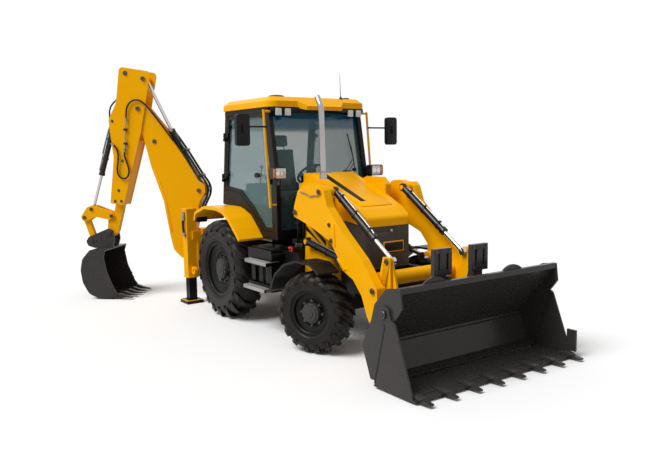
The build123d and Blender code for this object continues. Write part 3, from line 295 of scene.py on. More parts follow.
def plastic(name, colour, rough=0.5, grain=240.0, depth=0.12, gloss=0.3):
    """Moulded plastic or hose rubber with a fine grain."""
    moulding = Shader(name)
    slow = moulding.noise(4.0, detail=5.0)
    moulding.feed({
        "Base Color": moulding.mix(moulding.spread(slow, 0.0, 1.0), shade(colour, 0.88), shade(colour, 1.14)),
        "Roughness": moulding.spread(slow, rough * 0.9, min(1.0, rough * 1.15)),
        "Specular IOR Level": gloss,
    })
    moulding.bump(moulding.noise(grain, detail=3.0), strength=depth, distance=0.001)
    return moulding.material


def lamp_lens(name, colour):
    """Moulded lens: clear or coloured plastic with ribs in relief, and stripes of painted shade across them.
    """
    lens = Shader(name)
    rib_relief_and_shade = lens.bands("Y", {"Scale": 42.0})
    lens.feed({
        # Darker stripes in the lens colour along the ribs are painted shade.
        "Base Color": lens.mix(rib_relief_and_shade, shade(colour, 0.72), colour),
        "Roughness": lens.spread(rib_relief_and_shade, 0.05, 0.14, start=0.0, end=1.0),
        "Coat Weight": 0.5,
        "Coat Roughness": 0.03,
    })
    lens.bump(rib_relief_and_shade, strength=0.25, distance=0.002)
    return lens.material


def seat_cloth():
    """Woven upholstery: crossed threads in bump and colour."""
    cloth = Shader("seat_cloth")
    waves = [cloth.bands(axis, {"Scale": 120.0, "Distortion": 0.6}) for axis in ("X", "Y")]
    weave = cloth.add("ShaderNodeMath", operation="MULTIPLY")
    for wave, socket in zip(waves, weave.inputs):
        cloth.tree.links.new(wave, socket)
    threads = weave.outputs[0]
    cloth.feed({
        "Base Color": cloth.mix(threads, (0.03, 0.042, 0.055), (0.085, 0.11, 0.135)),
        "Roughness": 0.9,
        "Sheen Weight": 0.3,
    })
    cloth.bump(threads, strength=0.3, distance=0.002)
    return cloth.material


FINISH = {}


def make_finishes():
    """Fills FINISH with every material."""
    tone = colours()
    metal = {
        "yellow": ("golden_paint", tuple(tone.paint), 0.3, dict(gloss=0.07, drift=0.025, peel=0.02)),
        "black": ("dark_paint", tuple(tone.dark), 0.34, dict(grime=(0.016, 0.015, 0.014), gloss=0.16)),
        "charcoal": (
            "bucket_paint", tuple(tone.bucket), 0.26,
            dict(grime=(0.055, 0.05, 0.047), grime_from=0.56, gloss=0.2)
        ),
        "rim": ("rim_paint", (0.006, 0.0055, 0.005), 0.32, dict(grime=(0.014, 0.013, 0.012), gloss=0.16)),
        "casting": (
            "axle_paint", (0.01, 0.0095, 0.009), 0.5,
            dict(grime=(0.022, 0.02, 0.018), peel=0.2, gloss=0.15),
        ),
        "hub": ("hub_paint", (0.042, 0.039, 0.036), 0.42, dict(grime=(0.07, 0.065, 0.06), peel=0.15)),
        "bolt": ("bolt_metal", (0.085, 0.082, 0.08), 0.36, dict(metallic=0.85, drift=0.2)),
        "chrome": (
            "rod_chrome", (0.56, 0.56, 0.58), 0.16, dict(metallic=1.0, drift=0.03, peel=0.004, gloss=0.5),
        ),
        "pipe": (
            "pipe_zinc", (0.3, 0.295, 0.285), 0.3, dict(metallic=1.0, drift=0.12, peel=0.02, gloss=0.5),
        ),
        "stainless": (
            "stack_steel", (0.4, 0.385, 0.37), 0.18, dict(metallic=1.0, drift=0.1, peel=0.02, gloss=0.5),
        ),
        "tread_plate": (
            "step_metal", (0.36, 0.355, 0.35), 0.4, dict(metallic=0.7, drift=0.12, peel=0.05, gloss=0.5),
        ),
        "mirror": (
            "mirror_silver", (0.8, 0.82, 0.84), 0.04, dict(metallic=1.0, drift=0.01, peel=0.0, gloss=0.5),
        ),
        "barrel": ("barrel_paint", (0.005, 0.005, 0.005), 0.24, dict(gloss=0.36, peel=0.02)),
    }
    for key, (name, colour, rough, more) in metal.items():
        FINISH[key] = worked_metal(name, colour, rough, **more)
    FINISH["rubber"] = tyre_rubber("tyre_rubber", (0.01, 0.0085, 0.0075), (0.022, 0.018, 0.016), 0.18)
    # The lug copy is lighter than the carcass copy above it: painted light on the lug tops, against painted
    # shade on the carcass between the bars.
    FINISH["tread"] = tyre_rubber("lit_lug_rubber", (0.02, 0.0175, 0.0155), (0.045, 0.039, 0.034), 0.5)
    FINISH["hose"] = plastic("hose_rubber", (0.006, 0.006, 0.006), 0.38, grain=420.0, gloss=0.2)
    FINISH["plastic"] = plastic("moulded_plastic", (0.007, 0.007, 0.007), 0.44, gloss=0.18)
    FINISH["grille"] = plastic(
        "grille_plastic", (0.08, 0.072, 0.066), 0.46, grain=520.0, depth=0.3, gloss=0.18,
    )
    FINISH["red"] = plastic("red_plastic", (0.55, 0.012, 0.012), 0.35, gloss=0.5)
    FINISH["lamp_body"] = plastic("lamp_plastic", (0.012, 0.012, 0.0125), 0.3)
    FINISH["clear"] = lamp_lens("clear_lens", (0.86, 0.87, 0.88))
    FINISH["amber"] = lamp_lens("amber_lens", (0.85, 0.2, 0.01))
    FINISH["red_lens"] = lamp_lens("red_lens", (0.55, 0.01, 0.01))
    FINISH["glass"] = window_glass("door_glass", tuple(tone.glass), 0.46)
    FINISH["screen"] = window_glass("screen_glass", tuple(tone.glass), 0.3, band=tuple(tone.sun_band))
    FINISH["cloth"] = seat_cloth()


LOOK = {
    "yellow": (
        "rear_frame loader_towers cab_roof rear_fenders side_cowls grab_rails bonnet loader_arms "
        "kingpost_carriage slew_post boom dipper dipper_slider tipping_lever tipping_link "
        "tilt_levers tilt_links"
    ),
    "black": (
        "chassis_frame cab_frame door_frame_left door_frame_right step_platforms scuttle "
        "stabiliser_left stabiliser_right"
    ),
    "charcoal": "bucket_back bucket_clam fold_forks dig_bucket",
    "rim": "front_wheel_right front_wheel_left rear_wheel_right rear_wheel_left",
    "casting": "engine_block front_axle rear_axle knuckle_right knuckle_left",
    "chrome": "lift_ram_rods tilt_ram_rods dipper_ram_rod bucket_ram_rod",
    "stainless": "exhaust_stack",
    "rubber": "front_tyre_right front_tyre_left rear_tyre_right rear_tyre_left",
    "plastic": "seat_base steering_column mirrors",
    "barrel": "lift_ram_barrels tilt_ram_barrels dipper_ram_barrel bucket_ram_barrel",
    "grille": "grille",
    "lamp_body": "lamps",
    "glass": "door_glass_left door_glass_right",
    "screen": "cab_glass",
    "cloth": "seat",
}


def add_piece(name, mesh, finish, body, sharp=34.0):
    """Finished mesh as an object at the origin that rides on a body, or on none yet."""
    mesh.shade_smooth()
    mesh.set_sharp_from_angle(angle=math.radians(sharp))
    mesh.materials.clear()
    mesh.materials.append(FINISH[finish])
    piece = bpy.data.objects.new(name, mesh)
    bpy.context.scene.collection.objects.link(piece)
    if body:
        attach(piece, body)
    return piece


def finish_piece(name, bm, finish, body, place=MACHINE, sharp=34.0):
    """Turns a bmesh modelled in a frame of the machine into a piece that rides on a body."""
    bmesh.ops.recalc_face_normals(bm, faces=bm.faces)
    bm.transform(place)
    mesh = bpy.data.meshes.new(name)
    bm.to_mesh(mesh)
    bm.free()
    return add_piece(name, mesh, finish, body, sharp)


def round_edges(bm, edges, width, segments=2):
    """Bevels some edges."""
    bmesh.ops.bevel(
        bm, geom=list(edges), offset=width, offset_type="OFFSET", segments=segments, profile=0.5,
        affect="EDGES", material=-1, clamp_overlap=True,
    )


@contextmanager
def shape(name, finish, body, place=MACHINE, both=False):
    """Empty bmesh to fill in, which then becomes a piece, with its mirror image if both sides have it."""
    bm = bmesh.new()
    yield bm
    if both:
        mirror_sides(bm)
    finish_piece(name, bm, finish, body, place)


def soften(bm, verts, width):
    """Rounds every edge of a fresh shape."""
    round_edges(bm, {edge for vert in verts for edge in vert.link_edges}, width)


def add_box(bm, low, high, round_to=0.0, turn=None):
    """Box between two corners, with rounded edges, turned about its middle if asked."""
    low, high = Vector(low), Vector(high)
    verts = bmesh.ops.create_cube(bm, size=1.0)["verts"]
    bmesh.ops.scale(bm, vec=high - low, verts=verts)
    if turn:
        bmesh.ops.rotate(bm, verts=verts, cent=(0, 0, 0), matrix=turn)
    bmesh.ops.translate(bm, vec=(low + high) / 2, verts=verts)
    if round_to:
        soften(bm, verts, round_to)


def add_bar(bm, start, end, radius, sides=16, end_radius=None, round_to=0.0):
    """Round bar or cone between two places."""
    start, end = Vector(start), Vector(end)
    turn = (end - start).to_track_quat("Z", "Y").to_matrix().to_4x4()
    verts = bmesh.ops.create_cone(
        bm, cap_ends=True, segments=sides, radius1=radius,
        radius2=radius if end_radius is None else end_radius, depth=(end - start).length,
        matrix=Matrix.Translation((start + end) / 2) @ turn,
    )["verts"]
    if round_to:
        caps = [e for v in verts for e in v.link_edges if any(len(f.verts) > 4 for f in e.link_faces)]
        round_edges(bm, set(caps), round_to)


def add_plate(bm, corners, thickness, round_to=0.0):
    """Flat plate: a loop of corners drawn out along a vector."""
    base = bm.faces.new([bm.verts.new(corner) for corner in corners])
    drawn = bmesh.ops.extrude_face_region(bm, geom=[base])["geom"]
    moved = [item for item in drawn if isinstance(item, bmesh.types.BMVert)]
    bmesh.ops.translate(bm, vec=Vector(thickness), verts=moved)
    if round_to:
        soften(bm, moved + list(base.verts), round_to)


def add_side_plate(bm, corners, y, thickness, round_to=0.0):
    """Upright plate along the machine: (X, Z) corners at Y, drawn out to the left."""
    add_plate(bm, [(x, y, z) for x, z in corners], (0, thickness, 0), round_to=round_to)


def add_turned(bm, profile, centre, axis, steps=40, closed=False):
    """Turned shape: (radius, distance along the axis) points spun about an axis."""
    axis = Vector(axis).normalized()
    side = axis.orthogonal().normalized()
    verts = [bm.verts.new(Vector(centre) + side * radius + axis * along) for radius, along in profile]
    pairs = list(zip(verts, verts[1:])) + ([(verts[-1], verts[0])] if closed else [])
    edges = [bm.edges.new(pair) for pair in pairs]
    bmesh.ops.spin(
        bm, geom=verts + edges, cent=centre, axis=axis, dvec=(0, 0, 0), angle=math.tau, steps=steps,
        use_merge=True
    )
    bmesh.ops.remove_doubles(bm, verts=bm.verts, dist=1e-5)


def add_band(bm, centre, axis, radius, thickness=0.006, width=0.028):
    """Clamp band round a ram barrel."""
    half, inner = width / 2, radius - thickness
    ring = [(radius - 0.001, -half), (radius, -half + 0.002), (radius, half - 0.002), (radius - 0.001, half)]
    add_turned(bm, ring + [(inner, half), (inner, -half)], centre, axis, steps=28, closed=True)


def add_nut(bm, place, axis, radius=0.014, height=0.012):
    """Hexagon head on a round washer."""
    place, axis = Vector(place), Vector(axis).normalized()
    add_bar(bm, place, place + axis * 0.003, radius * 1.5, sides=14)
    add_bar(bm, place, place + axis * height, radius, sides=6, end_radius=radius * 0.92)


def add_cap(bm, place, axis, radius=0.036):
    """Pin end: turned cap with a raised ring and a centre bolt."""
    profile = [
        (radius, 0.0), (radius, 0.01), (radius * 0.9, 0.014), (radius * 0.62, 0.014), (radius * 0.58, 0.01),
        (radius * 0.3, 0.01), (0.0, 0.01),
    ]
    add_turned(bm, profile, place, axis, steps=24)
    add_nut(bm, Vector(place) + Vector(axis).normalized() * 0.008, axis, radius=radius * 0.32, height=0.011)


def add_knob(bm, centre, radius, half, waist, shoulder, steps=16):
    """Rounded knob on a lever."""
    profile = [(0.0, -half), (waist, -shoulder), (radius, 0.0), (waist, shoulder), (0.0, half)]
    add_turned(bm, profile, centre, (0, 0, 1), steps=steps)


def mirror_sides(bm):
    """Adds the mirror image across the machine's middle."""
    bmesh.ops.mirror(bm, geom=bm.verts[:] + bm.edges[:] + bm.faces[:], merge_dist=-1.0, axis="Y")


def tube_mesh(name, routes, radius, place):
    """Round tubes along smooth splines through lists of given places."""
    curve = bpy.data.curves.new(name, "CURVE")
    curve.dimensions = "3D"
    curve.bevel_depth = radius
    curve.bevel_resolution = 3
    curve.resolution_u = 6
    curve.use_fill_caps = True
    for route in routes:
        spline = curve.splines.new("NURBS")
        spline.points.add(len(route) - 1)
        for point, spot in zip(spline.points, route):
            point.co = (*(place @ Vector(spot)), 1.0)
        spline.order_u = 3
        spline.use_endpoint_u = True
    holder = bpy.data.objects.new(name + ".path", curve)
    mesh = bpy.data.meshes.new_from_object(holder)
    mesh.name = name
    bpy.data.objects.remove(holder)
    bpy.data.curves.remove(curve)
    return mesh


def add_tubes(name, routes, radius, finish, body, place=MACHINE):
    """Hoses or pipes of one piece."""
    return add_piece(name, tube_mesh(name, routes, radius, place), finish, body, sharp=50.0)


def add_crimps(name, routes, radius, body, place=MACHINE, length=0.055):
    """Swaged steel ends on hoses."""
    bm = bmesh.new()
    for route in routes:
        for first, second in ((route[0], route[1]), (route[-1], route[-2])):
            first, second = Vector(first), Vector(second)
            along = (second - first).normalized()
            add_bar(
                bm, first - along * 0.004, first + along * length, radius * 1.35, sides=14, round_to=0.002,
            )
            add_bar(bm, first - along * 0.012, first + along * 0.014, radius * 1.75, sides=6)
    return finish_piece(name, bm, "pipe", body, place)


def both_sides(routes):
    """Routes and their mirror images on the machine's other side."""
    return routes + [[(x, -y, z) for x, y, z in route] for route in routes]


class LOADER_OT_finishes(bpy.types.Operator):
    """Gives every CAD node its finish"""

    bl_idname = "loader.finishes"
    bl_label = "Finishes"

    def execute(self, context):
        make_finishes()
        for finish, names in LOOK.items():
            for name in names.split():
                mesh = NODES[name].data
                mesh.materials.clear()
                mesh.materials.append(FINISH[finish])
        return {"FINISHED"}


WHEELS = {
    "rear": dict(
        hub=(0.0, 0.88, REAR_HUB_HEIGHT), radius=0.69, width=0.42, rim=0.365, depth=0.05, face=0.14,
        disc_nuts=10, nut_circle=0.185, cap=0.14,
    ),
    "front": dict(
        hub=(2.17, 0.93, 0.475), radius=0.475, width=0.325, rim=0.245, depth=0.04, face=0.12, disc_nuts=8,
        nut_circle=0.146, cap=0.116,
    ),
}
KINGPIN_REACH = 0.74


def wheel_frame(axle, side):
    """Frame at a wheel's hub, with +Y out from the machine."""
    x, y, z = WHEELS[axle]["hub"]
    outward = Matrix.Identity(4) if side == LEFT else Matrix.Rotation(math.pi, 4, "Z")
    if axle == "rear":
        return MACHINE @ Matrix.Translation((x, side * y, z)) @ outward
    kingpin = Matrix.Translation((x, side * KINGPIN_REACH, z))
    spindle = Matrix.Translation((0.0, side * (y - KINGPIN_REACH), 0.0))
    return MACHINE @ kingpin @ Matrix.Rotation(STEER_TURN, 4, "Z") @ spindle @ outward


class LOADER_OT_tyres(bpy.types.Operator):
    """Lugged tyres: moulded carcass with sidewall rings and two rows of slanted bars, the bars in a lighter
    rubber as painted light
    """

    bl_idname = "loader.tyres"
    bl_label = "Tyres"

    # Shares of the wall's height and of the half width, from the bead to the shoulder.
    SIDEWALL = (
        (0.1, 0.9), (0.17, 0.935), (0.2, 0.965), (0.24, 0.965), (0.27, 0.955), (0.45, 0.985),
        (0.6, 0.985), (0.66, 0.975), (0.68, 0.99), (0.74, 0.975), (0.86, 0.9), (0.95, 0.78),
    )
    LUG_BEVEL = 0.005
    LUG_SHARE = 0.46  # of the pitch between lugs
    LUG_SLANT = 0.85  # of the pitch, from the shoulder to the middle
    LUG_FOOT, LUG_HEAD = 1.12, 0.88  # width at the carcass and at the ground

    def execute(self, context):
        for axle, count in (("rear", sizes().rear_lugs), ("front", sizes().front_lugs)):
            for side, word in SIDES:
                bm = bmesh.new()
                outline = {key: WHEELS[axle][key] for key in ("radius", "width", "rim", "depth")}
                self.carcass(bm, **outline)
                carcass = set(bm.faces)
                self.lugs(bm, count, **outline)
                # Faces of the bars take the second, lighter rubber: painted light on the lugs against the
                # darker carcass.
                for face in bm.faces:
                    face.material_index = 0 if face in carcass else 1
                name = f"{axle}_tyre_{word}"
                body, place = f"{axle}_wheel_{word}", wheel_frame(axle, side)
                piece = finish_piece("lugged_" + name, bm, "rubber", body, place, sharp=38.0)
                piece.data.materials.append(FINISH["tread"])
                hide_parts(name)
        return {"FINISHED"}

    def carcass(self, bm, radius, width, rim, depth):
        """Body of the tyre under the bars, with a bead, a sidewall ring and a round shoulder."""
        base = radius - depth
        wall = base - rim
        half = width / 2
        outward = [(rim + 0.001, 0.76 * half), (rim + 0.02, 0.77 * half), (rim + 0.022, 0.845 * half)]
        outward += [(rim + up * wall, out * half) for up, out in self.SIDEWALL]
        outward += [(base, 0.55 * half), (base + 0.004, 0.0)]
        profile = outward + [(r, -y) for r, y in reversed(outward[:-1])]
        add_turned(bm, profile, (0, 0, 0), (0, 1, 0), steps=72, closed=True)

    def lugs(self, bm, count, radius, width, rim, depth):
        """Two rows of bars; each bar is lofted from its middle over the shoulder."""
        base = radius - depth
        half = width / 2
        pitch = math.tau / count
        thick = self.LUG_SHARE * pitch
        # Share of the half width, radius of the top, radius of the foot, and width against the average.
        stations = [
            (-0.1, radius - 0.004, base - 0.02, 0.78), (0.3, radius, base - 0.02, 0.86),
            (0.62, radius - 0.006, base - 0.02, 1.0), (0.84, radius - 0.022, base - 0.05, 1.08),
            (0.985, radius - 0.26 * (radius - rim), base - 0.24 * (base - rim), 1.0),
            (0.985, radius - 0.4 * (radius - rim), base - 0.4 * (base - rim), 0.7),
        ]
        for row in (1, -1):
            before = set(bm.verts)
            loops = []
            for share, top, low, wide in stations:
                lead = self.LUG_SLANT * pitch * (1 - max(0.0, share)) * row
                corners = []
                for r, spread_to in ((low, self.LUG_FOOT), (top, self.LUG_HEAD)):
                    turns = (-0.5, 0.5) if r == low else (0.5, -0.5)
                    for turn in turns:
                        angle = lead + turn * spread_to * wide * thick
                        corners.append((r * math.cos(angle), row * share * half, r * math.sin(angle)))
                verts = [bm.verts.new(corner) for corner in corners]
                loops.append([bm.edges.new((verts[i], verts[(i + 1) % 4])) for i in range(4)])
            for first, second in zip(loops, loops[1:]):
                bmesh.ops.bridge_loops(bm, edges=first + second)
            for loop in (loops[0], loops[-1]):
                bmesh.ops.contextual_create(bm, geom=loop)
            fresh = [v for v in bm.verts if v not in before]
            edges = {edge for vert in fresh for edge in vert.link_edges}
            tops = {edge for edge in edges if all(math.hypot(v.co.x, v.co.z) > base for v in edge.verts)}
            round_edges(bm, tops, self.LUG_BEVEL, segments=1)
            fresh = [v for v in bm.verts if v not in before]
            if row < 0:
                bmesh.ops.rotate(bm, verts=fresh, cent=(0, 0, 0), matrix=Matrix.Rotation(pitch / 2, 3, "Y"))
            geom = fresh + list({edge for vert in fresh for edge in vert.link_edges})
            geom += list({face for vert in fresh for face in vert.link_faces})
            bmesh.ops.spin(
                bm, geom=geom, cent=(0, 0, 0), axis=(0, 1, 0), dvec=(0, 0, 0), angle=math.tau - pitch,
                steps=count - 1, use_duplicate=True,
            )


class LOADER_OT_hubs(bpy.types.Operator):
    """Hub covers, wheel nuts and a stepped ring in each rim's dish"""

    bl_idname = "loader.hubs"
    bl_label = "Hubs"

    DISC_DEPTH = 0.05  # of the wheel's disc behind the hub's face
    COVER_BOLTS = 10

    def execute(self, context):
        for axle, wheel in WHEELS.items():
            for side, word in SIDES:
                place = wheel_frame(axle, side)
                body = f"{axle}_wheel_{word}"
                with shape(f"{axle}_hub_cover_{word}", "hub", body, place) as bm:
                    self.cover(bm, wheel["cap"], wheel["face"])
                with shape(f"{axle}_wheel_nuts_{word}", "bolt", body, place) as bm:
                    self.nuts(bm, wheel)
                with shape(f"{axle}_rim_dish_{word}", "rim", body, place) as bm:
                    self.dish(bm, wheel)
        return {"FINISHED"}

    def cover(self, bm, radius, face):
        """Stepped hub cover with a ring of bolts."""
        profile = [
            (radius + 0.004, face - 0.052), (radius + 0.004, face - 0.01), (radius, face - 0.004),
            (radius, face + 0.004), (radius * 0.8, face + 0.01), (radius * 0.78, face + 0.02),
            (radius * 0.45, face + 0.024), (radius * 0.42, face + 0.032), (radius * 0.2, face + 0.034),
            (0.0, face + 0.034),
        ]
        add_turned(bm, profile, (0, 0, 0), (0, 1, 0), steps=40)
        ring, bolt = radius * 0.9, radius * 0.055
        self.ring_of_nuts(bm, self.COVER_BOLTS, ring, face + 0.004, radius=bolt, height=0.01)

    def nuts(self, bm, wheel):
        """Ring of nuts that hold the wheel's disc."""
        face = wheel["face"] - self.DISC_DEPTH
        self.ring_of_nuts(bm, wheel["disc_nuts"], wheel["nut_circle"], face, radius=0.015, height=0.026)

    def ring_of_nuts(self, bm, count, ring, face, radius, height):
        """Nuts on a circle round the hub."""
        for index in range(count):
            turn = math.tau * index / count
            spot = (ring * math.cos(turn), face, ring * math.sin(turn))
            add_nut(bm, spot, (0, 1, 0), radius, height)

    def dish(self, bm, wheel):
        """Stepped well between the disc and the rim's lip."""
        rim = wheel["rim"] - 0.013
        disc = wheel["face"] - self.DISC_DEPTH
        lip = 0.39 * wheel["width"]
        profile = [
            (wheel["nut_circle"] + 0.035, disc - 0.002), (wheel["nut_circle"] + 0.045, disc + 0.012),
            (rim - 0.06, disc + 0.012), (rim - 0.045, disc + 0.02), (rim - 0.02, lip - 0.035),
            (rim - 0.012, lip - 0.03), (rim - 0.006, lip + 0.004), (rim + 0.001, lip + 0.01),
        ]
        add_turned(bm, profile, (0, 0, 0), (0, 1, 0), steps=56)
        bmesh.ops.recalc_face_normals(bm, faces=bm.faces)
        bmesh.ops.solidify(bm, geom=bm.faces[:], thickness=0.003)


def screen_x(z):
    """X of the windscreen's outer face at a height."""
    return SCREEN_FOOT[0] + SCREEN_SLOPE * max(0.0, z - SCREEN_FOOT[1])


class LOADER_OT_cab_trim(bpy.types.Operator):
    """Lining, lamp rail, wiper, aerial, mirror glass, handles and controls of the cab"""

    bl_idname = "loader.cab_trim"
    bl_label = "Cab trim"

    DOOR_FACE = 0.746
    WIPER_FOOT, WIPER_JOINT, WIPER_TIP = 2.06, 2.22, 2.56  # heights on the screen

    def execute(self, context):
        self.lining()
        self.lamp_rail()
        self.wiper()
        self.roof_fittings()
        self.mirror_glass()
        self.door_fittings()
        self.controls()
        return {"FINISHED"}

    def lining(self):
        """Dark headlining, rear shelf and side panels inside the cab."""
        with shape("cab_lining", "plastic", "chassis") as bm:
            add_box(bm, (-0.185, -0.685, 2.868), (0.855, 0.685, 2.899), round_to=0.008)
            add_box(bm, (-0.15, -0.26, 2.8), (0.25, 0.26, 2.872), round_to=0.03)
            add_box(bm, (0.64, -0.56, 2.815), (0.85, 0.56, 2.872), round_to=0.025)
            add_box(bm, (-0.364, -0.56, 1.56), (-0.2, 0.56, 1.76), round_to=0.03)

    def lamp_rail(self):
        """Black fascia under the front of the roof, each side of its beak."""
        with shape("lamp_rail", "plastic", "chassis", both=True) as bm:
            corners = [(0.936, 0.235), (1.11, 0.255), (1.05, 0.44), (1.045, 0.735), (0.936, 0.735)]
            add_plate(bm, [(x, y, 2.846) for x, y in corners], (0, 0, 0.053), round_to=0.006)

    def wiper(self):
        """Wiper on the windscreen, with its arm and washer tube."""
        with shape("screen_wiper", "plastic", "chassis") as bm:
            pivot = Vector((screen_x(self.WIPER_FOOT) + 0.012, 0.555, self.WIPER_FOOT))
            tip = Vector((screen_x(self.WIPER_TIP) + 0.022, 0.5, self.WIPER_TIP))
            foot = Vector((screen_x(self.WIPER_JOINT) + 0.022, 0.552, self.WIPER_JOINT))
            ends = pivot - Vector((0.03, 0, 0)), pivot + Vector((0.02, 0, 0))
            add_bar(bm, *ends, radius=0.022, sides=18, round_to=0.004)
            hold = (foot + tip) / 2 + Vector((0.014, 0, 0))
            add_bar(bm, pivot + Vector((0.012, 0, 0)), hold, 0.007, sides=10)
            add_bar(bm, foot, tip, 0.006, sides=8)
            add_bar(bm, foot - Vector((0.01, 0, 0)), tip - Vector((0.01, 0, 0)), 0.004, sides=6)
            low = Vector((screen_x(1.99) + 0.01, 0.35, 1.99))
            add_bar(bm, low, foot, 0.005, sides=8)
            add_bar(bm, low + Vector((0, 0.05, -0.01)), foot + Vector((0, 0.02, -0.05)), 0.004, sides=8)

    def roof_fittings(self):
        """Aerial, vent and raised panel on the roof."""
        with shape("roof_aerial", "plastic", "chassis") as bm:
            add_bar(
                bm, (0.97, 0.4, 3.028), (0.97, 0.4, 3.062), 0.024, sides=18, end_radius=0.014,
                round_to=0.004,
            )
            add_bar(bm, (0.97, 0.4, 3.06), (0.955, 0.4, 3.365), 0.0045, sides=8, end_radius=0.0025)
            add_box(bm, (0.86, 0.48, 3.03), (0.96, 0.56, 3.052), round_to=0.008)
        with shape("roof_vent", "hub", "chassis") as bm:
            profile = [
                (0.105, 0.0), (0.11, 0.008), (0.108, 0.02), (0.085, 0.034), (0.04, 0.04), (0.0, 0.041),
            ]
            add_turned(bm, profile, (0.78, -0.52, 3.03), (0, 0, 1), steps=36)
        with shape("roof_panel", "yellow", "chassis") as bm:
            corners = [(-0.23, -0.6), (0.56, -0.6), (0.64, -0.48), (0.64, 0.48), (0.56, 0.6), (-0.23, 0.6)]
            add_plate(bm, [(x, y, 3.026) for x, y in corners], (0, 0, 0.026), round_to=0.012)
            for index in range(5):
                y = -0.4 + 0.2 * index
                add_box(bm, (-0.18, y - 0.03, 3.048), (0.48, y + 0.03, 3.062), round_to=0.006)

    def mirror_glass(self):
        """Glass and back of each mirror."""
        with shape("mirror_glass", "mirror", "chassis", both=True) as bm:
            add_box(bm, (1.049, 1.13, 2.42), (1.056, 1.28, 2.77), round_to=0.003)
        with shape("mirror_backs", "plastic", "chassis", both=True) as bm:
            add_box(bm, (1.112, 1.12, 2.415), (1.122, 1.29, 2.775), round_to=0.006)
            add_box(bm, (1.115, 1.185, 2.56), (1.15, 1.225, 2.68), round_to=0.008)
            add_bar(bm, (1.06, 1.15, 2.64), (1.06, 1.205, 2.64), 0.018, sides=14, round_to=0.003)

    def door_fittings(self):
        """Handle, latch and hinges of each door."""
        for side, word in SIDES:
            with shape(f"door_{word}_fittings", "plastic", f"door_{word}") as bm:
                face = self.DOOR_FACE
                hub = (0.6, face - 0.03, 2.01), (0.6, face + 0.016, 2.01)
                add_bar(bm, *hub, radius=0.034, sides=20, round_to=0.004)
                add_box(bm, (0.61, face + 0.006, 1.985), (0.72, face + 0.034, 2.035), round_to=0.01)
                add_box(bm, (0.94, face - 0.004, 1.9), (0.985, face + 0.03, 2.04), round_to=0.01)
                for z, x in ((2.69, -0.15), (2.01, -0.235)):
                    add_bar(
                        bm, (x, face - 0.006, z), (x, face + 0.03, z), 0.046, sides=24, end_radius=0.036,
                        round_to=0.006,
                    )
                if side == RIGHT:
                    bmesh.ops.scale(bm, vec=(1, -1, 1), verts=bm.verts)

    def controls(self):
        """Backhoe control pod, levers with round knobs, armrests and dash switches."""
        with shape("cab_controls", "plastic", "chassis") as bm:
            add_box(bm, (-0.33, -0.42, 1.56), (-0.14, 0.42, 1.86), round_to=0.03)
            for y in (-0.24, -0.12, 0.12, 0.24):
                add_bar(bm, (-0.2, y, 1.84), (-0.14, y, 2.08), 0.008, sides=10)
                add_knob(bm, (-0.14, y, 2.1), radius=0.026, half=0.026, waist=0.018, shoulder=0.018)
            for side in (RIGHT, LEFT):
                y = side * 0.3
                add_box(bm, (0.08, y - 0.035, 1.93), (0.42, y + 0.035, 1.975), round_to=0.018)
                add_bar(bm, (0.12, y, 1.7), (0.12, y, 1.94), 0.016, sides=10)
            add_box(bm, (0.56, -0.64, 1.56), (0.9, -0.47, 1.72), round_to=0.03)
            add_bar(bm, (0.7, -0.56, 1.71), (0.68, -0.56, 1.93), 0.011, sides=12)
            add_knob(bm, (0.68, -0.56, 1.95), radius=0.03, half=0.034, waist=0.022, shoulder=0.026)
            add_box(bm, (0.93, -0.21, 1.885), (1.04, 0.21, 1.96), round_to=0.03)


